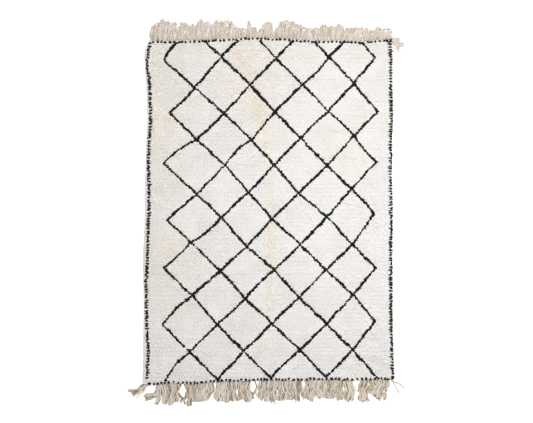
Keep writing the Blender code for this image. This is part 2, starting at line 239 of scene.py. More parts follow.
LOWER_LOCKS = tuple(starmap(Lock, (
    (-0.787, 0.016, -68, -0.908, 0.04, 0.016), (-0.786, 0.03, -64, -0.892, 0.052, 0.034),
    (-0.784, 0.03, -56, -0.876, 0.071, 0.03), (-0.706, 0.038, 0, -0.806, 0.091, 0.022),
    (-0.698, 0.06, 0, -0.692, 0.128, 0.05), (-0.648, 0.062, 0, -0.652, 0.144, 0.046),
    (-0.602, 0.058, 0, -0.606, 0.122, 0.044), (-0.562, 0.013, -20, -0.543, 0.13, 0.01),
    (-0.526, 0.05, 22, -0.532, 0.144, 0.038), (-0.478, 0.062, 0, -0.484, 0.121, 0.048),
    (-0.426, 0.06, 0, -0.426, 0.119, 0.046), (-0.376, 0.054, 0, -0.4, 0.1, 0.026),
    (-0.309, 0.06, 0, -0.301, 0.128, 0.042), (-0.265, 0.062, 0, -0.27, 0.138, 0.048),
    (-0.207, 0.07, 0, -0.196, 0.128, 0.058), (-0.144, 0.064, 0, -0.122, 0.134, 0.054),
    (-0.086, 0.008, 0, -0.1, 0.112, 0.008), (-0.032, 0.068, 8, -0.042, 0.132, 0.064),
    (0.026, 0.066, 0, 0.026, 0.148, 0.046), (0.086, 0.068, 0, 0.09, 0.132, 0.058),
    (0.146, 0.066, 0, 0.152, 0.13, 0.056), (0.196, 0.054, -16, 0.206, 0.138, 0.044),
    (0.262, 0.07, 14, 0.252, 0.132, 0.07), (0.328, 0.07, 0, 0.334, 0.122, 0.062),
    (0.394, 0.072, 0, 0.402, 0.125, 0.064), (0.456, 0.068, 0, 0.47, 0.127, 0.06),
    (0.513, 0.066, 0, 0.524, 0.138, 0.044), (0.546, 0.004, -10, 0.592, 0.078, 0.004),
    (0.62, 0.062, 0, 0.613, 0.142, 0.038), (0.682, 0.072, 0, 0.66, 0.094, 0.046),
    (0.746, 0.076, -8, 0.694, 0.126, 0.06), (0.786, 0.004, 50, 0.873, 0.06, 0.004),
    (0.786, 0.004, 62, 0.84, 0.09, 0.004),
)))


def linear(colour: str) -> tuple[float, float, float, float]:
    """Turn an sRGB hex colour, such as "F2EDE4", into linear light.

    Up to a low level the curve is a straight line, and past it a power of the lifted value.

    Args:
        colour: six hex digits.

    Returns:
        Red, green, blue and full opacity.
    """
    full, straight, slope, lift, power = 255, 0.04045, 12.92, 0.055, 2.4
    parts = [int(colour[place : place + 2], 16) / full for place in (0, 2, 4)]
    light = [part / slope if part <= straight else ((part + lift) / (1 + lift)) ** power for part in parts]
    return (*light, 1.0)


def feed(tree: NodeTree, node: Node, inputs: Inputs) -> None:
    """Give a node's inputs the plain values that they hold or the sockets that feed them.

    Args:
        tree: the node's tree.
        node: the node.
        inputs: the values and sockets, by the inputs' names or places, or in the node's own order.
    """
    for place, value in inputs.items() if isinstance(inputs, dict) else enumerate(inputs):
        if isinstance(value, NodeSocket):
            tree.links.new(value, node.inputs[place])
        else:
            node.inputs[place].default_value = value


def add_node(
    tree: NodeTree, kind: str, inputs: Inputs = (), output: str | int = 0, **settings: object
) -> NodeSocket:
    """Add one node to a tree, set it and feed it.

    Args:
        tree: the tree that takes the node.
        kind: Blender's name for it, past the word that they all start with.
        inputs: what feeds it, as feed takes it.
        output: the name or place of the output that is wanted.
        settings: the node's own properties.

    Returns:
        The socket of that output.
    """
    node = tree.nodes.new("ShaderNode" + kind)
    for setting, value in settings.items():
        setattr(node, setting, value)
    feed(tree, node, inputs)
    return node.outputs[output]


def new_finish(name: str) -> tuple[Material, NodeTree, Node]:
    """Start a material.

    Args:
        name: what it is called.

    Returns:
        The material, its tree and its surface shader.
    """
    material = bpy.data.materials.new(name)
    material.use_nodes = True
    tree = material.node_tree
    return material, tree, tree.nodes["Principled BSDF"]


def smooth_step(value: Array) -> Array:
    """Ease a value from 0 to 1: 3 v squared minus 2 v cubed, held between them."""
    held = np.clip(value, 0.0, 1.0)
    return held**2 * (3 - 2 * held)


def line_distance(x: Array, y: Array, start: Pair, end: Pair, bow: float = 0.0) -> Array:
    """Measure how far points are from a line that may bow to one side.

    The line's middle stands off by bow and its two ends stay: it is a parabola, 4 t (1 - t) bow, taken
    as square to the straight line because it is shallow.

    Args:
        x: the points' places across.
        y: the points' places along.
        start: one end.
        end: the other end.
        bow: how far the middle stands off, positive towards +X.

    Returns:
        The distances.
    """
    run = np.subtract(end, start)
    length = math.hypot(*run)
    run = run / length
    square = np.array((-run[1], run[0]))
    if square[0] < 0:
        square = -square
    ahead = (x - start[0]) * run[0] + (y - start[1]) * run[1]
    share = np.clip(ahead / length, 0.0, 1.0)
    aside = (x - start[0]) * square[0] + (y - start[1]) * square[1] - bow * 4 * share * (1 - share)
    return np.hypot(aside, ahead - share * length)


def show(name: str, data: bpy.types.ID) -> Object:
    """Make an object of a mesh, a light or a camera, and put it in the scene.

    Args:
        name: what it is called.
        data: what it shows.

    Returns:
        The object.
    """
    made = bpy.data.objects.new(name, data)
    bpy.context.scene.collection.objects.link(made)
    return made


def make_piece(
    name: str, points: Array, faces: list[Array], finish: Material,
    maps: dict[str, Array] | None = None, values: dict[str, Array] | None = None,
) -> Object:
    """Put points and faces into a mesh of their own, smooth shaded, and show it.

    Args:
        name: the piece's name.
        points: one row of X, Y, Z for each point.
        faces: blocks of faces, each block with the same number of corners in each of its rows.
        finish: the piece's material.
        maps: UV maps by name, a row for each corner in the order of the faces.
        values: numbers by name, one for each point.

    Returns:
        The piece.
    """
    mesh = bpy.data.meshes.new(name)
    mesh.vertices.add(len(points))
    mesh.vertices.foreach_set("co", points.astype(np.float32).ravel())
    corners = np.concatenate([block.ravel() for block in faces])
    counts = np.concatenate([np.full(len(block), block.shape[1]) for block in faces])
    mesh.loops.add(len(corners))
    mesh.loops.foreach_set("vertex_index", corners.astype(np.int32))
    mesh.polygons.add(len(counts))
    mesh.polygons.foreach_set("loop_start", (np.cumsum(counts) - counts).astype(np.int32))
    mesh.update(calc_edges=True)
    for label, places in (maps or {}).items():
        mesh.uv_layers.new(name=label).uv.foreach_set("vector", places.astype(np.float32).ravel())
    for label, numbers in (values or {}).items():
        mesh.attributes.new(label, "FLOAT", "POINT").data.foreach_set("value", numbers.astype(np.float32))
    mesh.shade_smooth()
    mesh.materials.append(finish)
    return show(name, mesh)


def tube_faces(sections: int, sides: int) -> tuple[Array, Array, Array]:
    """Join up a tube of rings of points, one after another, that ends in a single point.

    Args:
        sections: how many rings there are.
        sides: how many points there are in each.

    Returns:
        The four-cornered faces between rings, the three-cornered ones round the last point, and the cap
        over the first ring.
    """
    rings = np.arange(sections * sides).reshape(sections, sides)
    after = np.roll(rings, -1, axis=1)
    quads = np.stack((rings[:-1], after[:-1], after[1:], rings[1:]), axis=-1).reshape(-1, 4)
    tip = np.full(sides, rings.size)
    return quads, np.stack((rings[-1], after[-1], tip), axis=-1), rings[:1, ::-1]


def atlas_cells(count: int, template: Array) -> Array:
    """Lay one small map out once for each of many like parts, each in a square cell of its own.

    Args:
        count: how many parts there are.
        template: the map of one part within a square of side 1.

    Returns:
        The map of every part: parts, then corners, then U and V.
    """
    across = math.ceil(math.sqrt(count))
    part = np.arange(count)
    origin = np.stack((part % across, part // across), axis=-1)
    return (origin[:, None, :] + template[None, :, :]) / across


@dataclass(frozen=True)
class SoftNoise:
    """A smooth random field.

    Random values stand on a square grid that repeats, and between them the field eases from each to the
    next along both axes.

    Attributes:
        cell: the grid's spacing.
        seed: what its values are drawn from.
        size: its greatest value, either side of zero.
        period: how many cells pass before it repeats.
    """

    cell: float
    seed: int
    size: float = 1.0
    period: int = 64

    def at(self, x: Array, y: Array) -> Array:
        """Read the field.

        Args:
            x: places across.
            y: places along.

        Returns:
            Its value at each place.
        """
        grid = np.random.default_rng(self.seed).uniform(-self.size, self.size, (self.period, self.period))
        column, row = np.floor(x / self.cell).astype(int), np.floor(y / self.cell).astype(int)
        right, up = smooth_step(x / self.cell - column), smooth_step(y / self.cell - row)
        column, row = column % self.period, row % self.period
        next_column, next_row = (column + 1) % self.period, (row + 1) % self.period
        lower = grid[row, column] * (1 - right) + grid[row, next_column] * right
        upper = grid[next_row, column] * (1 - right) + grid[next_row, next_column] * right
        return lower * (1 - up) + upper * up


class Outline:
    """The field's edge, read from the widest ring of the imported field.

    Its lower and upper tell how far along the rug its two ends are at places across it, and its left and
    right how far across its two sides are at places along it, straight from point to point of the ring.
    """

    # How near its level a point of the ring is, and the decimals of a metre that tell two of them apart
    LEVEL_WITHIN: ClassVar[float] = 1e-4
    DECIMALS: ClassVar[int] = 6

    def __init__(self, node: str, level: float) -> None:
        """Read the ring and split it at its four corners.

        Args:
            node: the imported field.
            level: the height of its widest ring.
        """
        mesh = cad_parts[node].data
        points = np.empty(len(mesh.vertices) * 3, dtype=np.float32)
        mesh.vertices.foreach_get("co", points)
        points = points.reshape(-1, 3)
        level_with = np.abs(points[:, 2] - level) < self.LEVEL_WITHIN
        ring = np.unique(np.round(points[level_with, :2].astype(float), self.DECIMALS), axis=0)
        ring = ring[np.argsort(np.arctan2(ring[:, 1], ring[:, 0]))]
        corners = [int(np.argmax(ring @ way)) for way in ((-1, -1), (1, -1), (1, 1), (-1, 1))]
        ring = np.roll(ring, -corners[0], axis=0)
        second, third, fourth = [(corner - corners[0]) % len(ring) for corner in corners[1:]]
        closed = np.concatenate((ring, ring[:1]))
        ends = (closed[: second + 1], closed[third : fourth + 1][::-1])
        sides = (closed[fourth:][::-1], closed[second : third + 1])
        self.lower, self.upper = (partial(np.interp, xp=end[:, 0], fp=end[:, 1]) for end in ends)
        self.left, self.right = (partial(np.interp, xp=side[:, 1], fp=side[:, 0]) for side in sides)
        self.ring = ring

    def insets(self, x: Array, y: Array) -> Array:
        """Return how far in from the left, right, lower and upper edge each place is, in that order."""
        return np.stack((x - self.left(y), self.right(y) - x, y - self.lower(x), self.upper(x) - y))

    def plan(self, inset: float, columns: int, rows: int) -> Array:
        """Fill the field with a grid that follows its four edges.

        Each point is a fixed share of the way from left to right and from the lower end to the upper
        one. The edges of a row depend on its columns and the other way round, so a few passes settle
        them.

        Args:
            inset: how far in from the edge the grid's border stays.
            columns: cells across.
            rows: cells along.

        Returns:
            Rows, then columns, then X and Y.
        """
        passes = 6
        across, along = np.meshgrid(np.linspace(0, 1, columns + 1), np.linspace(0, 1, rows + 1))
        x, y = np.zeros_like(across), np.zeros_like(along)
        for _ in range(passes):
            low, high = self.lower(x) + inset, self.upper(x) - inset
            y = low + (high - low) * along
            low, high = self.left(y) + inset, self.right(y) - inset
            x = low + (high - low) * across
        return np.stack((x, y), axis=-1)

    def walk(self, step: float, inset: float) -> tuple[Array, Array]:
        """Step round the edge at an even pace.

        Args:
            step: the length of a step, about.
            inset: how far in from the edge to walk.

        Returns:
            The places, and the unit direction outwards at each.
        """
        closed = np.concatenate((self.ring, self.ring[:1]))
        passed = np.concatenate(([0.0], np.cumsum(np.linalg.norm(np.diff(closed, axis=0), axis=1))))
        stops = np.arange(0.0, passed[-1], step)
        places = np.stack([np.interp(stops, passed, closed[:, axis]) for axis in (0, 1)], axis=-1)
        way = np.roll(places, -1, axis=0) - np.roll(places, 1, axis=0)
        way /= np.linalg.norm(way, axis=1, keepdims=True)
        outwards = np.stack((way[:, 1], -way[:, 0]), axis=-1)
        return places - outwards * inset, outwards


@dataclass
class Lattice:
    """The dark diamonds: lines that zigzag from crossing to crossing, a little over two knots wide.

    Attributes:
        line_width: a line's usual width.
        width_change: how it varies along the lines.
        teeth: how single knots stand out past the line or are missing.
        strays: how far the lines stray from straight, across and along.
    """

    line_width: float = 0.0157
    width_change: SoftNoise = SoftNoise(0.045, 13, 0.0035)
    teeth: SoftNoise = SoftNoise(0.016, 14, 0.0046)
    strays: tuple[SoftNoise, SoftNoise] = (SoftNoise(0.045, 11, 0.004), SoftNoise(0.045, 12, 0.004))

    def links(self) -> list[tuple[Pair, Pair, float]]:
        """List every stretch of line.

        Each end on the upper border runs to the nearest crossing below. Rows of crossings are long and
        short by turns, and each crossing of the shorter row joins the two that flank it in the longer.

        Returns:
            Its two ends in the model's frame, and its bow.
        """
        bows = {(bow.row, bow.start, bow.end): bow.sideways for bow in BOWS}
        spots = [np.transpose(row) + MIDDLE_OF_FIELD for row in (UPPER_ENDS, *CROSSINGS)]
        pairs = [(0, end, (end + 1) // 2) for end in range(len(spots[0]))]
        for row in range(1, len(spots) - 1):
            few = min(len(spots[row]), len(spots[row + 1]))
            wide_above = len(spots[row]) > few
            for spot in range(few):
                for aside in (0, 1):
                    pairs.append((row, spot + aside, spot) if wide_above else (row, spot, spot + aside))
        return [
            (tuple(spots[row][start]), tuple(spots[row + 1][end]), bows.get((row, start, end), 0.0))
            for row, start, end in pairs
        ]

    def beyond(self, x: Array, y: Array) -> Array:
        """Measure how far places are outside the nearest line.

        Args:
            x: places across.
            y: places along.

        Returns:
            The distance from the line's edge, below zero inside the line.
        """
        across, along = (stray.at(x, y) for stray in self.strays)
        nearest = np.full(x.shape, np.inf)
        for start, end, bow in self.links():
            nearest = np.minimum(nearest, line_distance(x + across, y + along, start, end, bow))
        width = self.line_width + self.width_change.at(x, y) + self.teeth.at(x, y)
        for swell in SWELLS:
            away = np.hypot(x - swell.across - MIDDLE_OF_FIELD[0], y - swell.along - MIDDLE_OF_FIELD[1])
            width += swell.extra * smooth_step(1 - away / swell.radius)
        return nearest - width / 2


@dataclass
class Dashes:
    """A set of short strokes, one entry each: middle, half length, half thickness and turn from +X."""

    x: Array
    y: Array
    half_length: Array
    half_thickness: Array
    turn: Array

    def covers(self, x: Array, y: Array, grow: float = 0.0) -> Array:
        """Tell which places lie on a stroke.

        Args:
            x: places across.
            y: places along.
            grow: how much larger each stroke is taken all round.

        Returns:
            True for each place on one.
        """
        right, up = x[:, None] - self.x, y[:, None] - self.y
        ahead = (right * np.cos(self.turn) + up * np.sin(self.turn)) / (self.half_length + grow)
        aside = (up * np.cos(self.turn) - right * np.sin(self.turn)) / (self.half_thickness + grow)
        return np.any(ahead**2 + aside**2 < 1, axis=1)

    def yarns(self, asides: tuple[float, ...]) -> tuple[Array, ...]:
        """Lay yarns along every stroke, from each of its ends to near the other.

        Args:
            asides: how far each yarn is from the stroke's middle line, as a share of its half thickness.

        Returns:
            The places of their roots across and along, the ways they head, and their lengths.
        """
        way, off = (grid.ravel()[:, None] for grid in np.meshgrid((1.0, -1.0), asides))
        cosine, sine = np.cos(self.turn), np.sin(self.turn)
        x = self.x - way * self.half_length * cosine - off * self.half_thickness * sine
        y = self.y - way * self.half_length * sine + off * self.half_thickness * cosine
        heading = np.arctan2(way * cosine, -way * sine)
        length = np.broadcast_to(2 * self.half_length, x.shape)
        return x.ravel(), y.ravel(), heading.ravel(), length.ravel()


@dataclass
class Border:
    """The dark dashes round the field, just inside its edge.

    Attributes:
        pitch: from one dash of an end to the next, the shortest and the longest.
        side_pitch: the same down the sides.
        upper_inset: how far the upper line is from its end.
        lower_inset: how far the lower line is from its end.
        half_length: half a dash's length, the shortest and the longest.
        side_half_length: the same down the sides.
        half_thickness: half its thickness, the least and the most.
        side_half_thickness: the same down the sides.
        slant: how far the dashes of an end turn from their line, usually.
        side_slant: how far those of a side turn from square to it, usually.
        lengthwise: the share of a side's dashes that run along it instead.
        wobble: how far a dash strays from its line.
        lead_in: how far past the side lines an end's line is drawn.
        seed: what the dashes' unevenness is drawn from.
    """

    pitch: Pair = (0.0195, 0.032)
    side_pitch: Pair = (0.0145, 0.02)
    upper_inset: float = 0.01
    lower_inset: float = 0.005
    half_length: Pair = (0.0075, 0.0125)
    side_half_length: Pair = (0.013, 0.018)
    half_thickness: Pair = (0.0052, 0.0072)
    side_half_thickness: Pair = (0.0034, 0.0048)
    slant: float = 0.4
    side_slant: float = 0.45
    lengthwise: float = 0.1
    wobble: float = 0.0015
    lead_in: float = 0.012
    seed: int = 21

    def dashes(self, outline: Outline) -> Dashes:
        """Draw the dashes of all four lines.

        Along the ends a dash lies along its line, give or take a slant. Down the sides most lie across
        it, and some run along it.

        Args:
            outline: the field's edge.

        Returns:
            The dashes.
        """
        draw = np.random.default_rng(self.seed)
        rows = []
        shift_x, shift_y = MIDDLE_OF_FIELD
        left, right = (np.array(side) + (shift_y, shift_x) for side in (LEFT_BORDER, RIGHT_BORDER))
        for side in (left, right):
            stops = self.stops(side[0, 0], side[-1, 0], self.side_pitch, draw)
            along = draw.random(len(stops)) < self.lengthwise
            turn = np.where(along, FULL_TURN / 4, 0.0) + draw.normal(0, self.side_slant, len(stops))
            across = np.interp(stops, side[:, 0], side[:, 1])
            sizes = (self.side_half_length, self.side_half_thickness)
            rows.append(self.strokes(across, stops, turn, sizes, draw))
        ends = ((outline.upper, -self.upper_inset, -1), (outline.lower, self.lower_inset, 0))
        for edge, inset, corner in ends:
            first, last = left[corner, 1] - self.lead_in, right[corner, 1] + self.lead_in
            stops = self.stops(first, last, self.pitch, draw)
            turn = draw.normal(0, self.slant, len(stops))
            sizes = (self.half_length, self.half_thickness)
            rows.append(self.strokes(stops, edge(stops) + inset, turn, sizes, draw))
        return Dashes(*np.concatenate(rows, axis=1))

    def stops(self, start: float, end: float, pitch: Pair, draw: Draw) -> Array:
        """Set out uneven stops from start to end, each a random pitch past the last.

        Args:
            start: where to start.
            end: where to end.
            pitch: the least and the most from stop to stop.
            draw: where their unevenness comes from.

        Returns:
            The stops.
        """
        most = math.ceil((end - start) / pitch[0])
        places = start + np.cumsum(draw.uniform(*pitch, most))
        return places[places < end]

    def strokes(self, x: Array, y: Array, turn: Array, sizes: tuple[Pair, Pair], draw: Draw) -> Array:
        """Make the dashes of one line.

        Args:
            x: their middles' places across.
            y: their middles' places along.
            turn: their turns from +X.
            sizes: the least and the most half length, and the same for the half thickness.
            draw: where their unevenness comes from.

        Returns:
            The five rows of numbers that make the dashes.
        """
        count = len(x)
        x, y = (place + draw.normal(0, self.wobble, count) for place in (x, y))
        half_length, half_thickness = (draw.uniform(*size, count) for size in sizes)
        return np.stack((x, y, half_length, half_thickness, turn))


@dataclass
class Tufts:
    """A set of pile tufts, one entry of each array for each.

    Attributes:
        x: the root's place across the rug.
        y: the root's place along it.
        foot: the root's height.
        heading: the way it falls, 0 towards -Y and positive towards +X.
        reach: how far it falls.
        rise: how much higher its tip is than its root.
        width: its breadth.
        plump: how thick it is.
        curl: how far its tip swings to the side.
        tone: a random number from 0 to 1, for the differences from yarn to yarn.
        warmth: from 0 for the usual ivory to 1 for the warm wool of a parting.
    """

    x: Array
    y: Array
    foot: Array
    heading: Array
    reach: Array
    rise: Array
    width: Array
    plump: Array
    curl: Array
    tone: Array
    warmth: Array

    # The share of its reach at which a tuft shows most, about the middle of its uppermost part
    SHOWS_AT: ClassVar[float] = 0.55

    def only(self, chosen: Array) -> "Tufts":
        """Return the chosen tufts."""
        return Tufts(*(getattr(self, each.name)[chosen] for each in fields(self)))

    def with_more(self, more: "Tufts") -> "Tufts":
        """Return these tufts and some more."""
        pairs = ((getattr(self, each.name), getattr(more, each.name)) for each in fields(self))
        return Tufts(*(np.concatenate(pair) for pair in pairs))

    def seen_at(self) -> tuple[Array, Array]:
        """Return the places where the tufts show, seen from above."""
        fall = self.SHOWS_AT * self.reach
        return self.x + fall * np.sin(self.heading), self.y - fall * np.cos(self.heading)


@dataclass
class TuftForm:
    """The shape of one tuft: a curved three-sided tongue that stands up and falls over.

    Along the share s of its length it has fallen reach (0.35 s + 0.65 s squared) and risen
    rise (3.4 s - 2.4 s squared), so it leaves its root steeply and its tip dips again. Each section is a
    triangle with two corners at its sides and one on its crest.

    Attributes:
        shares: where along the length the sections are.
        breadths: how broad each is for the tuft's width.
        early_fall: the first number above.
        early_rise: the third.
    """

    shares: tuple[float, ...] = (0.0, 0.55)
    breadths: tuple[float, ...] = (0.8, 1.0)
    early_fall: float = 0.35
    early_rise: float = 3.4

    CORNERS: ClassVar[int] = 3

    def points(self, tufts: Tufts) -> Array:
        """Work out every point.

        Args:
            tufts: the tufts.

        Returns:
            Tufts, then points, then X, Y and Z. The last point is the tip.
        """
        share = np.array((*self.shares, 1.0))
        fall = share * self.early_fall + share**2 * (1 - self.early_fall)
        climb = share * self.early_rise + share**2 * (1 - self.early_rise)
        fall_rate = self.early_fall + 2 * share * (1 - self.early_fall)
        climb_rate = self.early_rise + 2 * share * (1 - self.early_rise)
        swing = tufts.curl[:, None] * share**2
        ahead = np.stack((np.sin(tufts.heading), -np.cos(tufts.heading)), axis=-1)
        aside = np.stack((-ahead[:, 1], ahead[:, 0]), axis=-1)
        root = np.stack((tufts.x, tufts.y), axis=-1)
        middle = root[:, None, :] + ahead[:, None, :] * (tufts.reach[:, None] * fall)[..., None]
        middle = middle + aside[:, None, :] * swing[..., None]
        height = tufts.foot[:, None] + tufts.rise[:, None] * climb
        slope = np.arctan2(tufts.rise[:, None] * climb_rate, tufts.reach[:, None] * fall_rate)
        breadth = np.array((*self.breadths, 0.0))
        half = tufts.width[:, None] * breadth / 2
        crest = tufts.plump[:, None] * breadth
        sides = aside[:, None, :] * half[..., None]
        back = ahead[:, None, :] * (crest * np.sin(slope))[..., None]
        right = np.concatenate((middle + sides, height[..., None]), axis=-1)
        ridge = np.concatenate((middle - back, (height + crest * np.cos(slope))[..., None]), axis=-1)
        left = np.concatenate((middle - sides, height[..., None]), axis=-1)
        rings = np.stack((right, ridge, left), axis=2)[:, :-1]
        return np.concatenate((rings.reshape(len(rings), -1, 3), right[:, -1:]), axis=1)

    def faces(self) -> tuple[Array, Array]:
        """Return one tuft's four-cornered faces, then its three-cornered ones."""
        quads, triangles, cap = tube_faces(len(self.shares), self.CORNERS)
        return quads, np.concatenate((triangles, cap))

    def baking_map(self) -> tuple[Array, Array]:
        """Lay one tuft's faces out flat in a square, none over another.

        The two upper faces of a band lie side by side, its underside beside them, and the root's cap in
        a corner below that.

        Returns:
            The corners of the four-cornered faces, then those of the three-cornered ones.
        """
        columns = ((0.04, 0.43), (0.43, 0.82), (0.86, 0.96))
        bottom, run = 0.12, 0.84
        levels = bottom + run * np.array((*self.shares, 1.0))
        cap = ((0.86, 0.03), (0.96, 0.03), (0.91, 0.09))
        quads, triangles = [], []
        for low, high in zip(levels[:-2], levels[1:-1]):
            for first, second in columns:
                quads += [(first, low), (second, low), (second, high), (first, high)]
        for first, second in columns:
            triangles += [(first, levels[-2]), (second, levels[-2]), ((first + second) / 2, levels[-1])]
        triangles += cap
        return np.array(quads), np.array(triangles)

    def build(self, name: str, tufts: Tufts, finish: Material) -> Object:
        """Make one piece of many tufts.

        Args:
            name: the piece's name.
            tufts: its tufts.
            finish: its wool.

        Returns:
            The piece.
        """
        points = self.points(tufts)
        count, per_tuft = points.shape[:2]
        first = np.arange(count)[:, None, None] * per_tuft
        quads, triangles = self.faces()
        share = np.array((*np.repeat(self.shares, self.CORNERS), 1.0))
        side = np.array((*np.tile((0.5, 0.0, -0.5), len(self.shares)), 0.0))
        # Metres across and along each tuft, shifted by its tone so that no two show the same fibres
        start = tufts.tone[:, None]
        across = tufts.width[:, None] * side + start
        strand = np.stack((across, np.hypot(tufts.reach, tufts.rise)[:, None] * share + start), axis=-1)
        corners = [strand[:, block].reshape(-1, 2) for block in (quads, triangles)]
        cells = [atlas_cells(count, block).reshape(-1, 2) for block in self.baking_map()]
        faces = [(first + quads).reshape(-1, 4), (first + triangles).reshape(-1, 3)]
        maps = {STRAND_MAP: np.concatenate(corners), BAKE_MAP: np.concatenate(cells)}
        values = {label: np.repeat(getattr(tufts, label), per_tuft) for label in ("tone", "warmth")}
        # How far up its tuft each point is, by which the material paints the roots' light and shade
        values["height_share"] = np.tile(share, count)
        return make_piece(name, points.reshape(-1, 3), faces, finish, maps, values)


class Edges(Enum):
    """The edges of the field that a row of tufts follows."""

    ALL = "all"
    SIDES = "sides"
    UPPER = "upper"

    def chosen(self, outwards: Array) -> Array:
        """Tell which places round the field belong to these edges.

        Args:
            outwards: the unit direction outwards at each place.

        Returns:
            True for each place that belongs.
        """
        squarely = 0.7
        facing = {
            Edges.ALL: np.ones(len(outwards)),
            Edges.SIDES: np.abs(outwards[:, 0]),
            Edges.UPPER: outwards[:, 1],
        }
        return facing[self] > squarely


class Tier(NamedTuple):
    """A row of tufts that falls outwards: its foot's height, its rise, reach and inset, and its edges."""

    foot: float
    rise: float
    reach: float
    inset: float
    edges: Edges


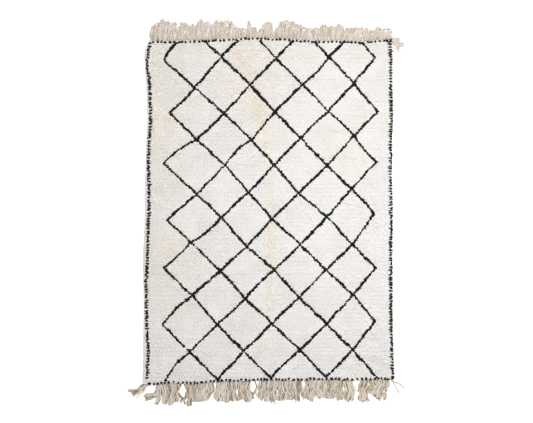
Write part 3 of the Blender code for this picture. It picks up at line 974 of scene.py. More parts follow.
@dataclass
class KnottedPile:
    """The pile: a tuft for every knot, in rows across the rug, each row shifted by half a knot.

    Attributes:
        outline: the field's edge.
        lattice: the dark lines.
        border: the dark dashes.
        pitch_across: from knot to knot.
        pitch_along: from row to row.
        scatter: how far a knot strays from its place, as a share of the pitch.
        margin: how far in from the edge the outermost knots are.
        foot: the height of a knot's root on the ground weave.
        rise: how much higher its tip is.
        reach: how far it falls.
        width: a tuft's breadth.
        plump: its thickness.
        curl: how far its tip swings, usually.
        lean: how the way it falls drifts over the field, in radians.
        uneven_lean: how it differs from tuft to tuft, usually.
        edge_lean: how much it turns outwards at a side.
        parting_lean: how much it turns away from a parting.
        reach_drift: how its reach drifts, as a share.
        waves: how the pile's height drifts.
        ridges: low ridges across the rug, where rows of knots were beaten closer.
        warm_drift: how the wool's warmth changes from batch to batch of yarn.
        ridge_run: how fast ridges and warm_drift change across the rug, for how they change along it.
        parting_drop: how much lower the pile is in a parting.
        edge_breadth: how far in the pile grows shorter towards the edge.
        edge_height: how high it is at the edge, as a share.
        overhang: how far a tuft may pass the edge.
        strips: how many pieces the ivory pile is shared out among.
        rim_step: from tuft to tuft of the rim.
        rim_tiers: the rows that fall outwards at the edge.
        dash_asides: where a dash's yarns lie across it, as shares of its half thickness.
        dash_lift: how much higher the dashes' yarns start and end.
        seed: what the tufts' unevenness is drawn from.
    """

    outline: Outline
    lattice: Lattice
    border: Border
    pitch_across: float = 0.0066
    pitch_along: float = 0.0084
    scatter: float = 0.17
    margin: float = 0.005
    foot: float = 0.0055
    rise: float = 0.0112
    reach: float = 0.0145
    width: float = 0.0128
    plump: float = 0.0023
    curl: float = 0.0016
    lean: tuple[SoftNoise, SoftNoise] = (SoftNoise(0.11, 31, 0.3), SoftNoise(0.034, 32, 0.35))
    uneven_lean: float = 0.15
    edge_lean: float = 1.1
    parting_lean: float = 0.7
    reach_drift: SoftNoise = SoftNoise(0.05, 33, 0.12)
    waves: tuple[SoftNoise, SoftNoise] = (SoftNoise(0.16, 34, 0.001), SoftNoise(0.045, 35, 0.0006))
    ridges: SoftNoise = SoftNoise(0.026, 36, 0.0007)
    warm_drift: SoftNoise = SoftNoise(0.045, 37, 0.16)
    ridge_run: float = 0.22
    parting_drop: float = 0.0022
    edge_breadth: float = 0.014
    edge_height: float = 0.72
    overhang: float = 0.003
    strips: int = 5
    rim_step: float = 0.006
    rim_tiers: tuple[Tier, ...] = (
        Tier(0.001, 0.0072, 0.0066, 0.005, Edges.SIDES),
        Tier(0.0052, 0.01, 0.007, 0.005, Edges.ALL),
        Tier(0.006, 0.0112, 0.008, 0.011, Edges.UPPER),
    )
    dash_asides: tuple[float, ...] = (-0.6, 0.0, 0.6)
    dash_lift: float = 0.0038
    seed: int = 41

    def warmth_at(self, x: Array, y: Array) -> tuple[Array, Array, Array]:
        """Work out how warm the wool is, and how the pile parts.

        A cloud and a parting both fade as a bell curve, exp(-d squared), d being the distance from the
        middle for the half breadth.

        Args:
            x: places across.
            y: places along.

        Returns:
            The warmth, how fully the pile is parted, and the side of the parting, -1 or 1.
        """
        shift_x, shift_y = MIDDLE_OF_FIELD
        warmth, parted, side = np.zeros_like(x), np.zeros_like(x), np.ones_like(x)
        for cloud in CLOUDS:
            right = (x - cloud.across - shift_x) / cloud.half_across
            up = (y - cloud.along - shift_y) / cloud.half_along
            warmth += cloud.warmth * np.exp(-(right**2 + up**2))
        for parting in PARTINGS:
            start, end = np.add(parting.start, MIDDLE_OF_FIELD), np.add(parting.end, MIDDLE_OF_FIELD)
            near = np.exp(-((line_distance(x, y, start, end) / parting.breadth) ** 2))
            warmth += parting.warmth * near
            run = end - start
            way = np.sign((x - start[0]) * run[1] - (y - start[1]) * run[0]) * (1 if run[1] >= 0 else -1)
            side = np.where(near > parted, way, side)
            parted = np.maximum(parted, near * parting.warmth)
        return warmth, parted, side

    def past_edge(self, x: Array, y: Array) -> Array:
        """Return how far past the edge each place is, below zero inside it."""
        return -self.outline.insets(x, y).min(axis=0)

    def tufts_at(self, x: Array, y: Array, draw: Draw) -> Tufts:
        """Grow a tuft at each place, as it falls in the open field and near an edge.

        Sizes are the usual ones times a random number about one. The reach and rise also drift over the
        field, and the pile is lower near the edge and in a parting.

        Args:
            x: the roots' places across.
            y: the roots' places along.
            draw: where the differences from tuft to tuft come from.

        Returns:
            The tufts.
        """
        turned_within = 0.03
        shortest, longest, stump = 0.6, 1.35, 0.25
        least_warm, fleck_warm, fleck_power = 0.12, 1.9, 3
        uneven_reach, uneven_rise, uneven_width, uneven_plump = 0.1, 0.06, 0.11, 0.1
        count = len(x)
        insets = self.outline.insets(x, y)
        near_left, near_right = (1 - smooth_step(inset / turned_within) for inset in insets[:2])
        inwards = smooth_step(insets.min(axis=0) / self.edge_breadth)
        shorter = self.edge_height + (1 - self.edge_height) * inwards
        warmth, parted, side = self.warmth_at(x, y)
        warmth += self.warm_drift.at(x * self.ridge_run, y)
        heading = sum(noise.at(x, y) for noise in self.lean) + draw.normal(0, self.uneven_lean, count)
        heading += self.edge_lean * (near_right - near_left) + self.parting_lean * parted * side
        reach = self.reach * (1 + self.reach_drift.at(x, y)) * draw.normal(1, uneven_reach, count)
        reach = np.clip(reach, shortest * self.reach, longest * self.reach)
        outside = self.past_edge(x + reach * np.sin(heading), y - reach * np.cos(heading)) - self.overhang
        reach = np.clip(reach - np.clip(outside, 0, None), stump * self.reach, None)
        waves = sum(noise.at(x, y) for noise in self.waves) + self.ridges.at(x * self.ridge_run, y)
        rise = (self.rise + waves) * draw.normal(1, uneven_rise, count) * shorter
        fleck = least_warm + fleck_warm * draw.random(count) ** fleck_power
        return Tufts(
            x=x, y=y, foot=np.full(count, self.foot), heading=heading, reach=reach,
            rise=rise - self.parting_drop * parted, width=self.width * draw.normal(1, uneven_width, count),
            plump=self.plump * draw.normal(1, uneven_plump, count), curl=draw.normal(0, self.curl, count),
            tone=draw.random(count), warmth=np.clip(warmth * fleck, 0, 1),
        )

    def bed(self, draw: Draw) -> Tufts:
        """Grow the open field's tufts, in rows.

        Args:
            draw: where their unevenness comes from.

        Returns:
            The tufts.
        """
        low, high = self.outline.ring.min(axis=0), self.outline.ring.max(axis=0)
        columns = int((high[0] - low[0]) / self.pitch_across) + 1
        rows = int((high[1] - low[1]) / self.pitch_along) + 1
        column, row = np.meshgrid(np.arange(columns), np.arange(rows))
        x = low[0] + (column + (row % 2) / 2) * self.pitch_across
        y = low[1] + row * self.pitch_along
        x = (x + draw.uniform(-self.scatter, self.scatter, x.shape) * self.pitch_across).ravel()
        y = (y + draw.uniform(-self.scatter, self.scatter, y.shape) * self.pitch_along).ravel()
        inside = self.past_edge(x, y) < -self.margin
        return self.tufts_at(x[inside], y[inside], draw)

    def rim(self, draw: Draw) -> Tufts:
        """Grow the tufts that fall outwards at the edge of the ground weave.

        Down the sides they are in two tiers. Along the ends the lower tier is left out, because the warp
        comes out there, and the upper end has a further row inside the first, since the open field's
        tufts fall away from it.

        Args:
            draw: where their unevenness comes from.

        Returns:
            The tufts.
        """
        stray, uneven_heading, uneven_reach, uneven_rise = 0.0008, 0.35, 0.15, 0.1
        grown = None
        for tier in self.rim_tiers:
            places, outwards = self.outline.walk(self.rim_step, tier.inset)
            chosen = tier.edges.chosen(outwards)
            places, outwards = places[chosen], outwards[chosen]
            count = len(places)
            tufts = self.tufts_at(places[:, 0] + draw.normal(0, stray, count), places[:, 1], draw)
            tufts.foot[:] = tier.foot
            turn = draw.normal(0, uneven_heading, count)
            tufts.heading[:] = np.arctan2(outwards[:, 0], -outwards[:, 1]) + turn
            tufts.reach[:] = tier.reach * draw.normal(1, uneven_reach, count)
            tufts.rise[:] = tier.rise * draw.normal(1, uneven_rise, count)
            grown = grown.with_more(tufts) if grown else tufts
        return grown

    def dash_tufts(self, dashes: Dashes, draw: Draw) -> Tufts:
        """Lay the yarns of the border's dashes over the rest of the pile, short of the field's edge.

        Args:
            dashes: the dashes.
            draw: where their unevenness comes from.

        Returns:
            The tufts.
        """
        narrower, covered, overhang, stump = 0.56, 0.86, 0.0095, 0.3
        uneven_heading, uneven_reach, uneven_rise = 0.1, 0.08, 0.05
        x, y, heading, length = dashes.yarns(self.dash_asides)
        x = np.clip(x, self.outline.left(y), self.outline.right(y))
        y = np.clip(y, self.outline.lower(x), self.outline.upper(x))
        tufts = self.tufts_at(x, y, draw)
        tufts.heading[:] = heading + draw.normal(0, uneven_heading, len(x))
        reach = covered * length * draw.normal(1, uneven_reach, len(x))
        outside = self.past_edge(x + reach * np.sin(tufts.heading), y - reach * np.cos(tufts.heading))
        tufts.reach[:] = np.clip(reach - np.clip(outside - overhang, 0, None), self.reach * stump, None)
        tufts.width *= narrower
        tufts.foot += self.dash_lift
        tufts.rise[:] = self.rise * draw.normal(1, uneven_rise, len(x))
        return tufts

    def build(self, finishes: dict[Yarn, Material]) -> list[Object]:
        """Make the pile's pieces. A tuft is dark where it shows on a line of the lattice or on a dash.

        Args:
            finishes: the wool of each colour.

        Returns:
            The ivory strips, from the lower end up, and then the dark piece.
        """
        draw = np.random.default_rng(self.seed)
        border_breadth, line_margin, shrink = 0.05, 0.004, 0.002
        dashes = self.border.dashes(self.outline)
        tufts = self.bed(draw).with_more(self.rim(draw))
        x, y = tufts.seen_at()
        past = self.past_edge(x, y)
        near_edge = past > -border_breadth
        on_dash = np.zeros(len(x), dtype=bool)
        on_dash[near_edge] = dashes.covers(x[near_edge], y[near_edge], -shrink)
        is_dark = on_dash | (self.lattice.beyond(x, y) < 0) & (past < -line_margin)
        dark = tufts.only(is_dark).with_more(self.dash_tufts(dashes, draw))
        ivory = tufts.only(~is_dark)
        ivory = ivory.only(np.argsort(ivory.y, kind="stable"))
        form = TuftForm()
        pieces = []
        for strip, members in enumerate(np.array_split(np.arange(len(ivory.x)), self.strips), start=1):
            name = f"{Yarn.IVORY.value}_pile_{strip}"
            pieces.append(form.build(name, ivory.only(members), finishes[Yarn.IVORY]))
        pieces.append(form.build(f"{Yarn.DARK.value}_pile", dark, finishes[Yarn.DARK]))
        return pieces


@dataclass
class GroundWeave:
    """The flat woven sheet that the knots are tied in.

    Attributes:
        outline: the field's edge.
        lattice: the dark lines, which show through on its back.
        inset: how far its edge is inside the field's, since the pile hangs over it.
        round_over: how much the edge is rounded.
        thickness: of the weave.
        packed_feet: how far the knots' packed feet fill the pile above it, away from the edge.
        rising_within: how far in from the edge they reach that height.
        columns: cells across.
        rows: cells along.
    """

    outline: Outline
    lattice: Lattice
    inset: float = 0.0065
    round_over: float = 0.0018
    thickness: float = 0.0065
    packed_feet: float = 0.0072
    rising_within: float = 0.024
    columns: int = 84
    rows: int = 116

    def build(self, finish: Material) -> Object:
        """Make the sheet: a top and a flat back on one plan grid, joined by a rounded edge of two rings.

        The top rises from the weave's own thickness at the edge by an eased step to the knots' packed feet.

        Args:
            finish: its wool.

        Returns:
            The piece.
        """
        plan = self.outline.plan(self.inset + self.round_over, self.columns, self.rows)
        wide = self.outline.plan(self.inset, self.columns, self.rows)
        rows, columns = plan.shape[:2]
        index = np.arange(rows * columns).reshape(rows, columns)
        border = np.concatenate((index[0], index[1:, -1], index[-1, -2::-1], index[-2:0:-1, 0]))
        flat, spread = plan.reshape(-1, 2), wide.reshape(-1, 2)[border]
        near_edge = smooth_step(1 - self.outline.insets(*flat.T).min(axis=0) / self.rising_within)
        top = np.column_stack((flat, self.thickness + self.packed_feet * (1 - near_edge)))
        back = np.column_stack((flat, np.zeros(len(flat))))
        rings = [
            np.column_stack((spread, np.full(len(border), height)))
            for height in (self.thickness - self.round_over, self.round_over)
        ]
        points = np.concatenate((top, back, *rings))
        cells = np.stack((index[:-1, :-1], index[:-1, 1:], index[1:, 1:], index[1:, :-1]), axis=-1)
        upper = cells.reshape(-1, 4)
        first_ring = 2 * len(flat) + np.arange(len(border))
        loops = (border, first_ring, first_ring + len(border), border + len(flat))
        sides = [
            np.stack((above, below, np.roll(below, -1), np.roll(above, -1)), axis=-1)
            for above, below in zip(loops, loops[1:])
        ]
        under = upper[:, ::-1] + len(flat)
        past_line = self.lattice.beyond(points[:, 0], points[:, 1])
        faces = [upper, under, *sides]
        return make_piece("woven_ground", points, faces, finish, values={"past_line": past_line})


@dataclass
class Strands:
    """Strands of yarn, all with as many stations: tubes of a flattened round section, drawn to a point.

    A station's ring is route + radius (side cos a + above sin a flatness), for turns a all the way
    round, side being level and square to the strand and above square to both.

    Attributes:
        route: each strand's middle line: strands, then stations, then X, Y and Z.
        radius: half its breadth at each station.
        tone: from 0, pale, to 1, tan; on fringe cords partly painted shade, tanner on lower layers.
        ash: 1 for a strand of greyish wool, otherwise 0.
        phase: how far along its twist each one starts.
        sides: the corners of its section.
        flatness: how high a section is for its breadth.
    """

    route: Array
    radius: Array
    tone: Array
    ash: Array
    phase: Array
    sides: int
    flatness: float

    def points(self) -> Array:
        """Work out every point, none of them under the floor.

        Returns:
            Strands, then the rings' points and the tip, then X, Y and Z.
        """
        way = np.gradient(self.route, axis=1)
        way /= np.linalg.norm(way, axis=2, keepdims=True)
        side = np.stack((way[..., 1], -way[..., 0], np.zeros_like(way[..., 0])), axis=-1)
        side /= np.linalg.norm(side, axis=2, keepdims=True)
        above = np.cross(side, way) * self.flatness
        turn = np.arange(self.sides) * FULL_TURN / self.sides
        ring = side[:, :, None, :] * np.cos(turn)[:, None] + above[:, :, None, :] * np.sin(turn)[:, None]
        tube = self.route[:, :, None, :] + ring * self.radius[..., None, None]
        tip = self.route[:, -1:] + way[:, -1:] * self.radius[:, -1:, None]
        points = np.concatenate((tube.reshape(len(tube), -1, 3), tip), axis=1)
        points[..., 2] = np.maximum(points[..., 2], FLOOR_GAP)
        return points

    def corner_turns(self) -> tuple[list[Array], list[Array]]:
        """Work out where each corner of one strand's faces is, in the three blocks of tube_faces.

        Returns:
            The share of a turn round the strand of each corner, and the number of its station.
        """
        stations = self.route.shape[1]
        station, side = np.meshgrid(np.arange(stations - 1), np.arange(self.sides), indexing="ij")
        quad_turn = np.stack((side, side + 1, side + 1, side), axis=-1).ravel()
        quad_station = np.stack((station, station, station + 1, station + 1), axis=-1).ravel()
        last = np.arange(self.sides)
        tip_turn = np.stack((last, last + 1, last + 0.5), axis=-1).ravel()
        turns = [quad_turn / self.sides, tip_turn / self.sides, last[::-1] / self.sides]
        levels = [quad_station, np.full(len(tip_turn), stations - 1), np.zeros(self.sides, dtype=int)]
        return turns, levels

    def twist_map(self) -> list[Array]:
        """Lay the faces out for the ply, by the share of a turn and the metres passed along the strand.

        Returns:
            The three blocks of corners: strands, then corners, then U and V.
        """
        steps = np.linalg.norm(np.diff(self.route, axis=1), axis=2)
        passed = np.concatenate((np.zeros((len(steps), 1)), np.cumsum(steps, axis=1)), axis=1)
        passed += self.phase[:, None]
        blocks = []
        for turn, station in zip(*self.corner_turns()):
            along = passed[:, station]
            blocks.append(np.stack((np.broadcast_to(turn, along.shape), along), axis=-1))
        return blocks

    def baking_map(self) -> list[Array]:
        """Lay the faces out flat, each strand in a cell of its own, with its cap beside it.

        Returns:
            The three blocks of corners: strands, then corners, then U and V.
        """
        low, high, tip_level, breadth = 0.04, 0.86, 0.96, 0.8
        cap_middle, cap_radius = (0.92, 0.5), 0.03
        turns, levels = self.corner_turns()
        last = self.route.shape[1] - 1
        tube = np.stack((low + breadth * turns[0], low + (high - low) * levels[0] / last), axis=-1)
        tip = np.stack((low + breadth * turns[1], np.tile((high, high, tip_level), self.sides)), axis=-1)
        angle = turns[2] * FULL_TURN
        cap = np.stack((np.cos(angle), np.sin(angle)), axis=-1) * cap_radius + cap_middle
        return [atlas_cells(len(self.route), block) for block in (tube, tip, cap)]


def build_strands(name: str, sets: list[tuple[Strands, Pair]], finish: Material) -> Object:
    """Make one piece of several sets of strands.

    Args:
        name: the piece's name.
        sets: each set, and the part of the baking map that it takes, from where to where along V.
        finish: their yarn.

    Returns:
        The piece.
    """
    points, faces, twists, cells = [], [], [], []
    values = {"tone": [], "ash": []}
    passed = 0
    for strands, (low, high) in sets:
        made = strands.points()
        count, per_strand = made.shape[:2]
        first = passed + np.arange(count)[:, None, None] * per_strand
        points.append(made.reshape(-1, 3))
        blocks = tube_faces(strands.route.shape[1], strands.sides)
        faces += [(first + block).reshape(-1, block.shape[1]) for block in blocks]
        twists += [block.reshape(-1, 2) for block in strands.twist_map()]
        cells += [block.reshape(-1, 2) * (1, high - low) + (0, low) for block in strands.baking_map()]
        values["tone"].append(np.repeat(strands.tone, per_strand))
        values["ash"].append(np.repeat(strands.ash, per_strand))
        passed += count * per_strand
    maps = {STRAND_MAP: np.concatenate(twists), BAKE_MAP: np.concatenate(cells)}
    joined = {label: np.concatenate(numbers) for label, numbers in values.items()}
    return make_piece(name, np.concatenate(points), faces, finish, maps, joined)


@dataclass
class CordPlan:
    """What tells the cords of a fringe apart, one entry of each array for each.

    Attributes:
        bunch: the number of the bunch it is in.
        layer: how many layers of cords are under it.
        at_root: its place in the bunch's breadth at the root, from -1 to 1.
        at_tip: the same at the tip.
        length: how far along the bunch's route it ends, as a share.
        tone: from 0, pale, to 1, tan: partly the yarn's own, and partly painted shade, tanner the lower its
            layer.
        ash: 1 for greyish wool, otherwise 0.
        phase: where its own wave starts.
        wave: how far it swings.
        wave_length: the length of that swing.
        hook: how far its tip bends aside.
        stout: how thick it is, as a share of the usual.
    """

    bunch: Array
    layer: Array
    at_root: Array
    at_tip: Array
    length: Array
    tone: Array
    ash: Array
    phase: Array
    wave: Array
    wave_length: Array
    hook: Array
    stout: Array


@dataclass
class WarpFringe:
    """The loose warp ends past one end of the field, each a cord of plied wool.

    Attributes:
        outline: the field's edge.
        end: which end of the rug.
        locks: its bunches.
        cord_pitch: from cord to cord within a layer of a bunch.
        radius: of a cord.
        tip_frays: the hairs into which a cord's tip comes apart.
        side_frays: the loose hairs along it.
        fray_length: the shortest and the longest hair.
        lone_width: the breadth below which a bunch is a single cord.
        layers: how many cords lie over each other.
        sides: the corners of a cord's section.
        flatness: how high it is for its breadth.
        stations: sections along a cord.
        hidden: how far a cord starts inside the field's edge.
        band: how far past the edge a bunch's own route starts.
        exit_height: at which it comes out of the ground weave.
        bunch_wave: how far a bunch's cords swing together.
        bunch_wave_length: the length of that swing, the shortest and the longest.
        wave: how far each cord swings on its own.
        wave_length: the length of that swing, the shortest and the longest.
        hook: how far a tip bends aside, usually.
        pinch: how much a bunch may draw together before its tip, at most.
        spread: how far a cord strays within its bunch on the way to its tip.
        ashen: the share of greyish cords.
        crown: how much shorter a bunch's outer cords are, as a share.
        fullness: how much broader than its packed lock a bunch is at its tip.
        uneven_length: how much shorter a cord is than the longest, usually, as a share.
        broad_end: the breadth of a tip below which a bunch's cords wave and bend less.
        seed: what the cords' differences are drawn from, each end with its own number added.
    """

    outline: Outline
    end: End
    locks: tuple[Lock, ...]
    cord_pitch: float = 0.013
    radius: float = 0.0047
    tip_frays: int = 2
    side_frays: int = 1
    fray_length: Pair = (0.003, 0.008)
    lone_width: float = 0.006
    layers: int = 4
    sides: int = 5
    flatness: float = 0.85
    stations: int = 14
    hidden: float = 0.009
    band: float = 0.007
    exit_height: float = 0.0042
    bunch_wave: float = 0.0065
    bunch_wave_length: Pair = (0.09, 0.15)
    wave: float = 0.0042
    wave_length: Pair = (0.045, 0.08)
    hook: float = 0.01
    pinch: float = 0.22
    spread: float = 0.46
    ashen: float = 0.12
    crown: float = 0.07
    fullness: float = 1.2
    uneven_length: float = 0.06
    broad_end: float = 0.04
    seed: int = 51

    def cord_plan(self, draw: Draw) -> CordPlan:
        """Share the bunches out into cords.

        Args:
            draw: where their differences come from.

        Returns:
            The cords' own numbers.
        """
        root_share, bottom_layer_painted_shade, painted_shade_step, uneven_tone = 0.8, 0.75, 0.2, 0.36
        lone_stout, lone_pale, uneven_stout = 0.8, 0.3, 0.12
        uneven_place, opening, outermost, uneven_wave = 0.35, 1.1, 1.6, 0.35
        usual_length, shortest, longest = 1.03, 0.68, 1.02
        bunch, place, layer = [], [], []
        for number, lock in enumerate(self.locks):
            most = max(1, round(max(lock.width, root_share * lock.end) / self.cord_pitch))
            for level in range(1 if lock.width < self.lone_width else min(self.layers, most + 1)):
                count = max(1, most - level % 2)
                spots = (np.arange(count) + 0.5) / count * 2 - 1
                place.append(spots + draw.uniform(-uneven_place, uneven_place, count) / count)
                bunch.append(np.full(count, number))
                layer.append(np.full(count, level))
        bunch, place, layer = (np.concatenate(column) for column in (bunch, place, layer))
        count = len(bunch)
        lone = np.array([lock.width < self.lone_width for lock in self.locks])[bunch]
        slim = np.minimum(1.0, np.array([lock.end for lock in self.locks])[bunch] / self.broad_end)
        at_tip = np.clip(place * opening + draw.normal(0, self.spread, count), -outermost, outermost)
        uneven = np.abs(draw.normal(0, self.uneven_length, count))
        shortfall = np.where(lone, 0, uneven + self.crown * np.abs(at_tip))
        # Painted shade: the lower a cord's layer, the tanner it is painted, for the shade of the cords over
        # it; the random part is the yarn's own tone
        tone = bottom_layer_painted_shade - painted_shade_step * layer + draw.normal(0, uneven_tone, count) - lone_pale * lone
        stout = np.where(lone, lone_stout, draw.normal(1, uneven_stout, count))
        return CordPlan(
            bunch=bunch, layer=layer, at_root=place, at_tip=at_tip,
            length=np.clip(usual_length - shortfall, shortest, longest), tone=np.clip(tone, 0, 1),
            ash=(draw.random(count) < self.ashen).astype(float), phase=draw.uniform(0, FULL_TURN, count),
            wave=draw.normal(1, uneven_wave, count) * self.wave * slim,
            wave_length=draw.uniform(*self.wave_length, count), hook=draw.normal(0, self.hook, count) * slim,
            stout=stout,
        )

    def routes(self, plan: CordPlan, draw: Draw) -> Array:
        """Lay every cord.

        A bunch's middle line is the quadratic curve that its packed lock follows, carried straight back
        under the field's edge. A cord goes from its place in the bunch's breadth at the root to its
        place at the tip by an eased step, and the bunch draws together by a bell curve before the tip.
        A cord swings with its bunch and on its own, in two sines, and its tip bends aside by the cube of
        the share passed. It comes out of the ground weave and sinks to its layer.

        Args:
            plan: the cords' own numbers.
            draw: where the bunches' swings come from.

        Returns:
            Cords, then stations, then X, Y and Z.
        """
        pinch_at, pinch_breadth = 0.72, 0.28
        layer_rise, settled, sink_length = 0.95, 0.35, 0.03
        ripple, ripple_rate, swing_rate = 0.0012, 0.7, 3
        facing = self.end.value
        shift_x = MIDDLE_OF_FIELD[0]
        owners = np.array(self.locks)[plan.bunch]
        root, width, leave, tip_x, reach, end = (column[:, None] for column in owners.T)
        edge = self.outline.upper if facing > 0 else self.outline.lower
        spots = root + shift_x + width * np.array((-0.5, 0.0, 0.5))
        end_line = facing * np.max(facing * edge(spots), axis=1, keepdims=True)
        leave = np.radians(leave)
        tip = np.concatenate((tip_x + shift_x, end_line + facing * reach), axis=1)
        way_out = np.concatenate((np.sin(leave), facing * np.cos(leave)), axis=1)
        start = np.concatenate((root + shift_x, end_line), axis=1) + way_out * self.band
        span = np.linalg.norm(tip - start, axis=1, keepdims=True)
        knee = start + way_out * span / 2
        back = -(self.band + self.hidden) / span
        # The share of the bunch's curve passed at each station, below zero under the field's edge
        along = back + (plan.length[:, None] - back) * np.linspace(0, 1, self.stations)
        forward = np.clip(along, 0, None)[..., None]
        start, knee, tip = (point[:, None, :] for point in (start, knee, tip))
        line = start * (1 - forward) ** 2 + knee * 2 * forward * (1 - forward) + tip * forward**2
        line = line + way_out[:, None, :] * (np.clip(along, None, 0) * span)[..., None]
        way = (knee - start) * (1 - forward) + (tip - knee) * forward
        way /= np.linalg.norm(way, axis=2, keepdims=True)
        across = np.stack((way[..., 1], -way[..., 0]), axis=-1) * facing
        bunches = len(self.locks)
        pinch = draw.uniform(0, self.pinch, bunches)[plan.bunch, None]
        shared_phase = draw.uniform(0, FULL_TURN, bunches)[plan.bunch, None]
        shared_length = draw.uniform(*self.bunch_wave_length, bunches)[plan.bunch, None]
        share = smooth_step(along)
        place = plan.at_root[:, None] * (1 - share) + plan.at_tip[:, None] * share
        place = place * (1 - pinch * np.exp(-(((along - pinch_at) / pinch_breadth) ** 2)))
        half = (width + (end * self.fullness - width) * np.clip(along, 0, 1)) / 2
        passed = (along - back) * span
        turn = FULL_TURN * passed / plan.wave_length[:, None] + plan.phase[:, None]
        shared_turn = FULL_TURN * passed / shared_length + shared_phase
        freed = np.minimum(1.0, span / self.bunch_wave_length[0])
        swing = plan.wave[:, None] * (np.sin(turn) - np.sin(plan.phase[:, None]))
        last_turn = shared_phase + FULL_TURN * (1 - back) * span / shared_length
        shared = np.sin(shared_turn) - np.sin(shared_phase) * (1 - along) - np.sin(last_turn) * along
        swing += self.bunch_wave * shared
        bent = plan.hook[:, None] * np.clip(along, 0, None) ** 3
        aside = place * half + (swing * smooth_step(along * swing_rate) + bent) * freed
        laid = line + across * aside[..., None]
        layer = plan.layer[:, None]
        height = self.radius * self.flatness * (1 + layer_rise * layer * (1 - settled * share))
        height = height + ripple * (1 + np.sin(turn * ripple_rate)) * (layer > 0)
        sunk = smooth_step(passed / sink_length)
        height = self.exit_height * (1 - sunk) + height * sunk
        return np.concatenate((laid, height[..., None]), axis=-1)

    def cords(self, draw: Draw) -> Strands:
        """Make the cords: each swells a little once it is out, and thins to its tip.

        Args:
            draw: where their differences come from.

        Returns:
            The cords.
        """
        taper_from, thinned = 0.85, 0.05
        narrow, gain, swell_rate = 0.8, 0.2, 4
        plan = self.cord_plan(draw)
        share = np.linspace(0, 1, self.stations)
        thin = 1 - thinned * smooth_step((share - taper_from) / (1 - taper_from))
        swell = narrow + gain * smooth_step(share * swell_rate)
        return Strands(
            route=self.routes(plan, draw), radius=self.radius * plan.stout[:, None] * (thin * swell),
            tone=plan.tone, ash=plan.ash, phase=plan.phase, sides=self.sides, flatness=self.flatness,
        )

    def frays(self, cords: Strands, draw: Draw) -> Strands:
        """Untwist the cords' tips, and raise loose hairs along them past the smooth part near the root.

        A hair leaves its cord's middle line, turned aside, and bends further the same way at an even
        rate. It sinks to the floor by the square of the share passed, after a low arc.

        Args:
            cords: the cords.
            draw: where the hairs' differences come from.

        Returns:
            The hairs.
        """
        stations, thickest, thinnest, sides = 5, 0.0011, 0.0004, 3
        tip_turn, side_turn, usual_bend, arc = 0.3, (0.35, 1.1), 0.8, 0.0022
        smooth_part, paler, less_grey = 3, 0.6, 0.5
        count, last = len(cords.route), cords.route.shape[1] - 1
        per_cord = self.tip_frays + self.side_frays
        total = count * per_cord
        owner = np.repeat(np.arange(count), per_cord)
        from_tip = np.tile(np.arange(per_cord) < self.tip_frays, count)
        station = np.where(from_tip, last - 1, draw.integers(last // smooth_part, last, total))
        start = cords.route[owner, station]
        ahead = cords.route[owner, station + 1] - start
        sideways = draw.uniform(*side_turn, total) * draw.choice((-1, 1), total)
        heading = np.arctan2(ahead[:, 1], ahead[:, 0])
        heading += np.where(from_tip, draw.normal(0, tip_turn, total), sideways)
        bend = draw.normal(0, usual_bend, total)
        share = np.linspace(0, 1, stations)
        turn = heading[:, None] + bend[:, None] * share
        step = draw.uniform(*self.fray_length, total)[:, None] / (stations - 1)
        moved = np.stack((np.cos(turn), np.sin(turn)), axis=-1) * step[..., None]
        laid = start[:, None, :2] + np.cumsum(moved, axis=1) - moved[:, :1]
        height = start[:, 2:] * (1 - share**2) + thickest * share**2 + arc * share * (1 - share)
        return Strands(
            route=np.concatenate((laid, height[..., None]), axis=-1),
            radius=np.broadcast_to(thickest + (thinnest - thickest) * share, (total, stations)),
            tone=cords.tone[owner] * paler, ash=cords.ash[owner] * less_grey, phase=cords.phase[owner],
            sides=sides, flatness=1.0,
        )

    def build(self, name: str, finish: Material) -> Object:
        """Make the fringe as one piece of cords and hairs.

        Args:
            name: the piece's name.
            finish: its yarn.

        Returns:
            The piece.
        """
        cords_share = 0.8
        draw = np.random.default_rng(self.seed + self.end.value)
        cords = self.cords(draw)
        frays = self.frays(cords, draw)
        return build_strands(name, [(cords, (0.0, cords_share)), (frays, (cords_share, 1.0))], finish)


@dataclass(frozen=True, kw_only=True)
class Wool:
    """What every finish of the rug shares: matt wool, with a soft pale sheen from its loose fibre ends.

    Attributes:
        name: what the finish is called.
        roughness: of the wool.
        specular: how much light its surface reflects.
        sheen: how strong the sheen is.
        sheen_roughness: of the sheen.
    """

    name: str
    roughness: float = 0.9
    specular: float = 0.25
    sheen: float = 0.15
    sheen_roughness: float = 0.5

    def surface(self, tree: NodeTree) -> tuple[NodeSocket, NodeSocket]:
        """Make the colour and the bumped normal, as each kind of wool does in its own way."""
        raise NotImplementedError

    def build(self) -> Material:
        """Make the material.

        Returns:
            The material.
        """
        material, tree, shader = new_finish(self.name)
        colour, normal = self.surface(tree)
        inputs = {
            "Base Color": colour,
            "Normal": normal,
            "Roughness": self.roughness,
            "Specular IOR Level": self.specular,
            "Sheen Weight": self.sheen,
            "Sheen Roughness": self.sheen_roughness,
        }
        feed(tree, shader, inputs)
        return material


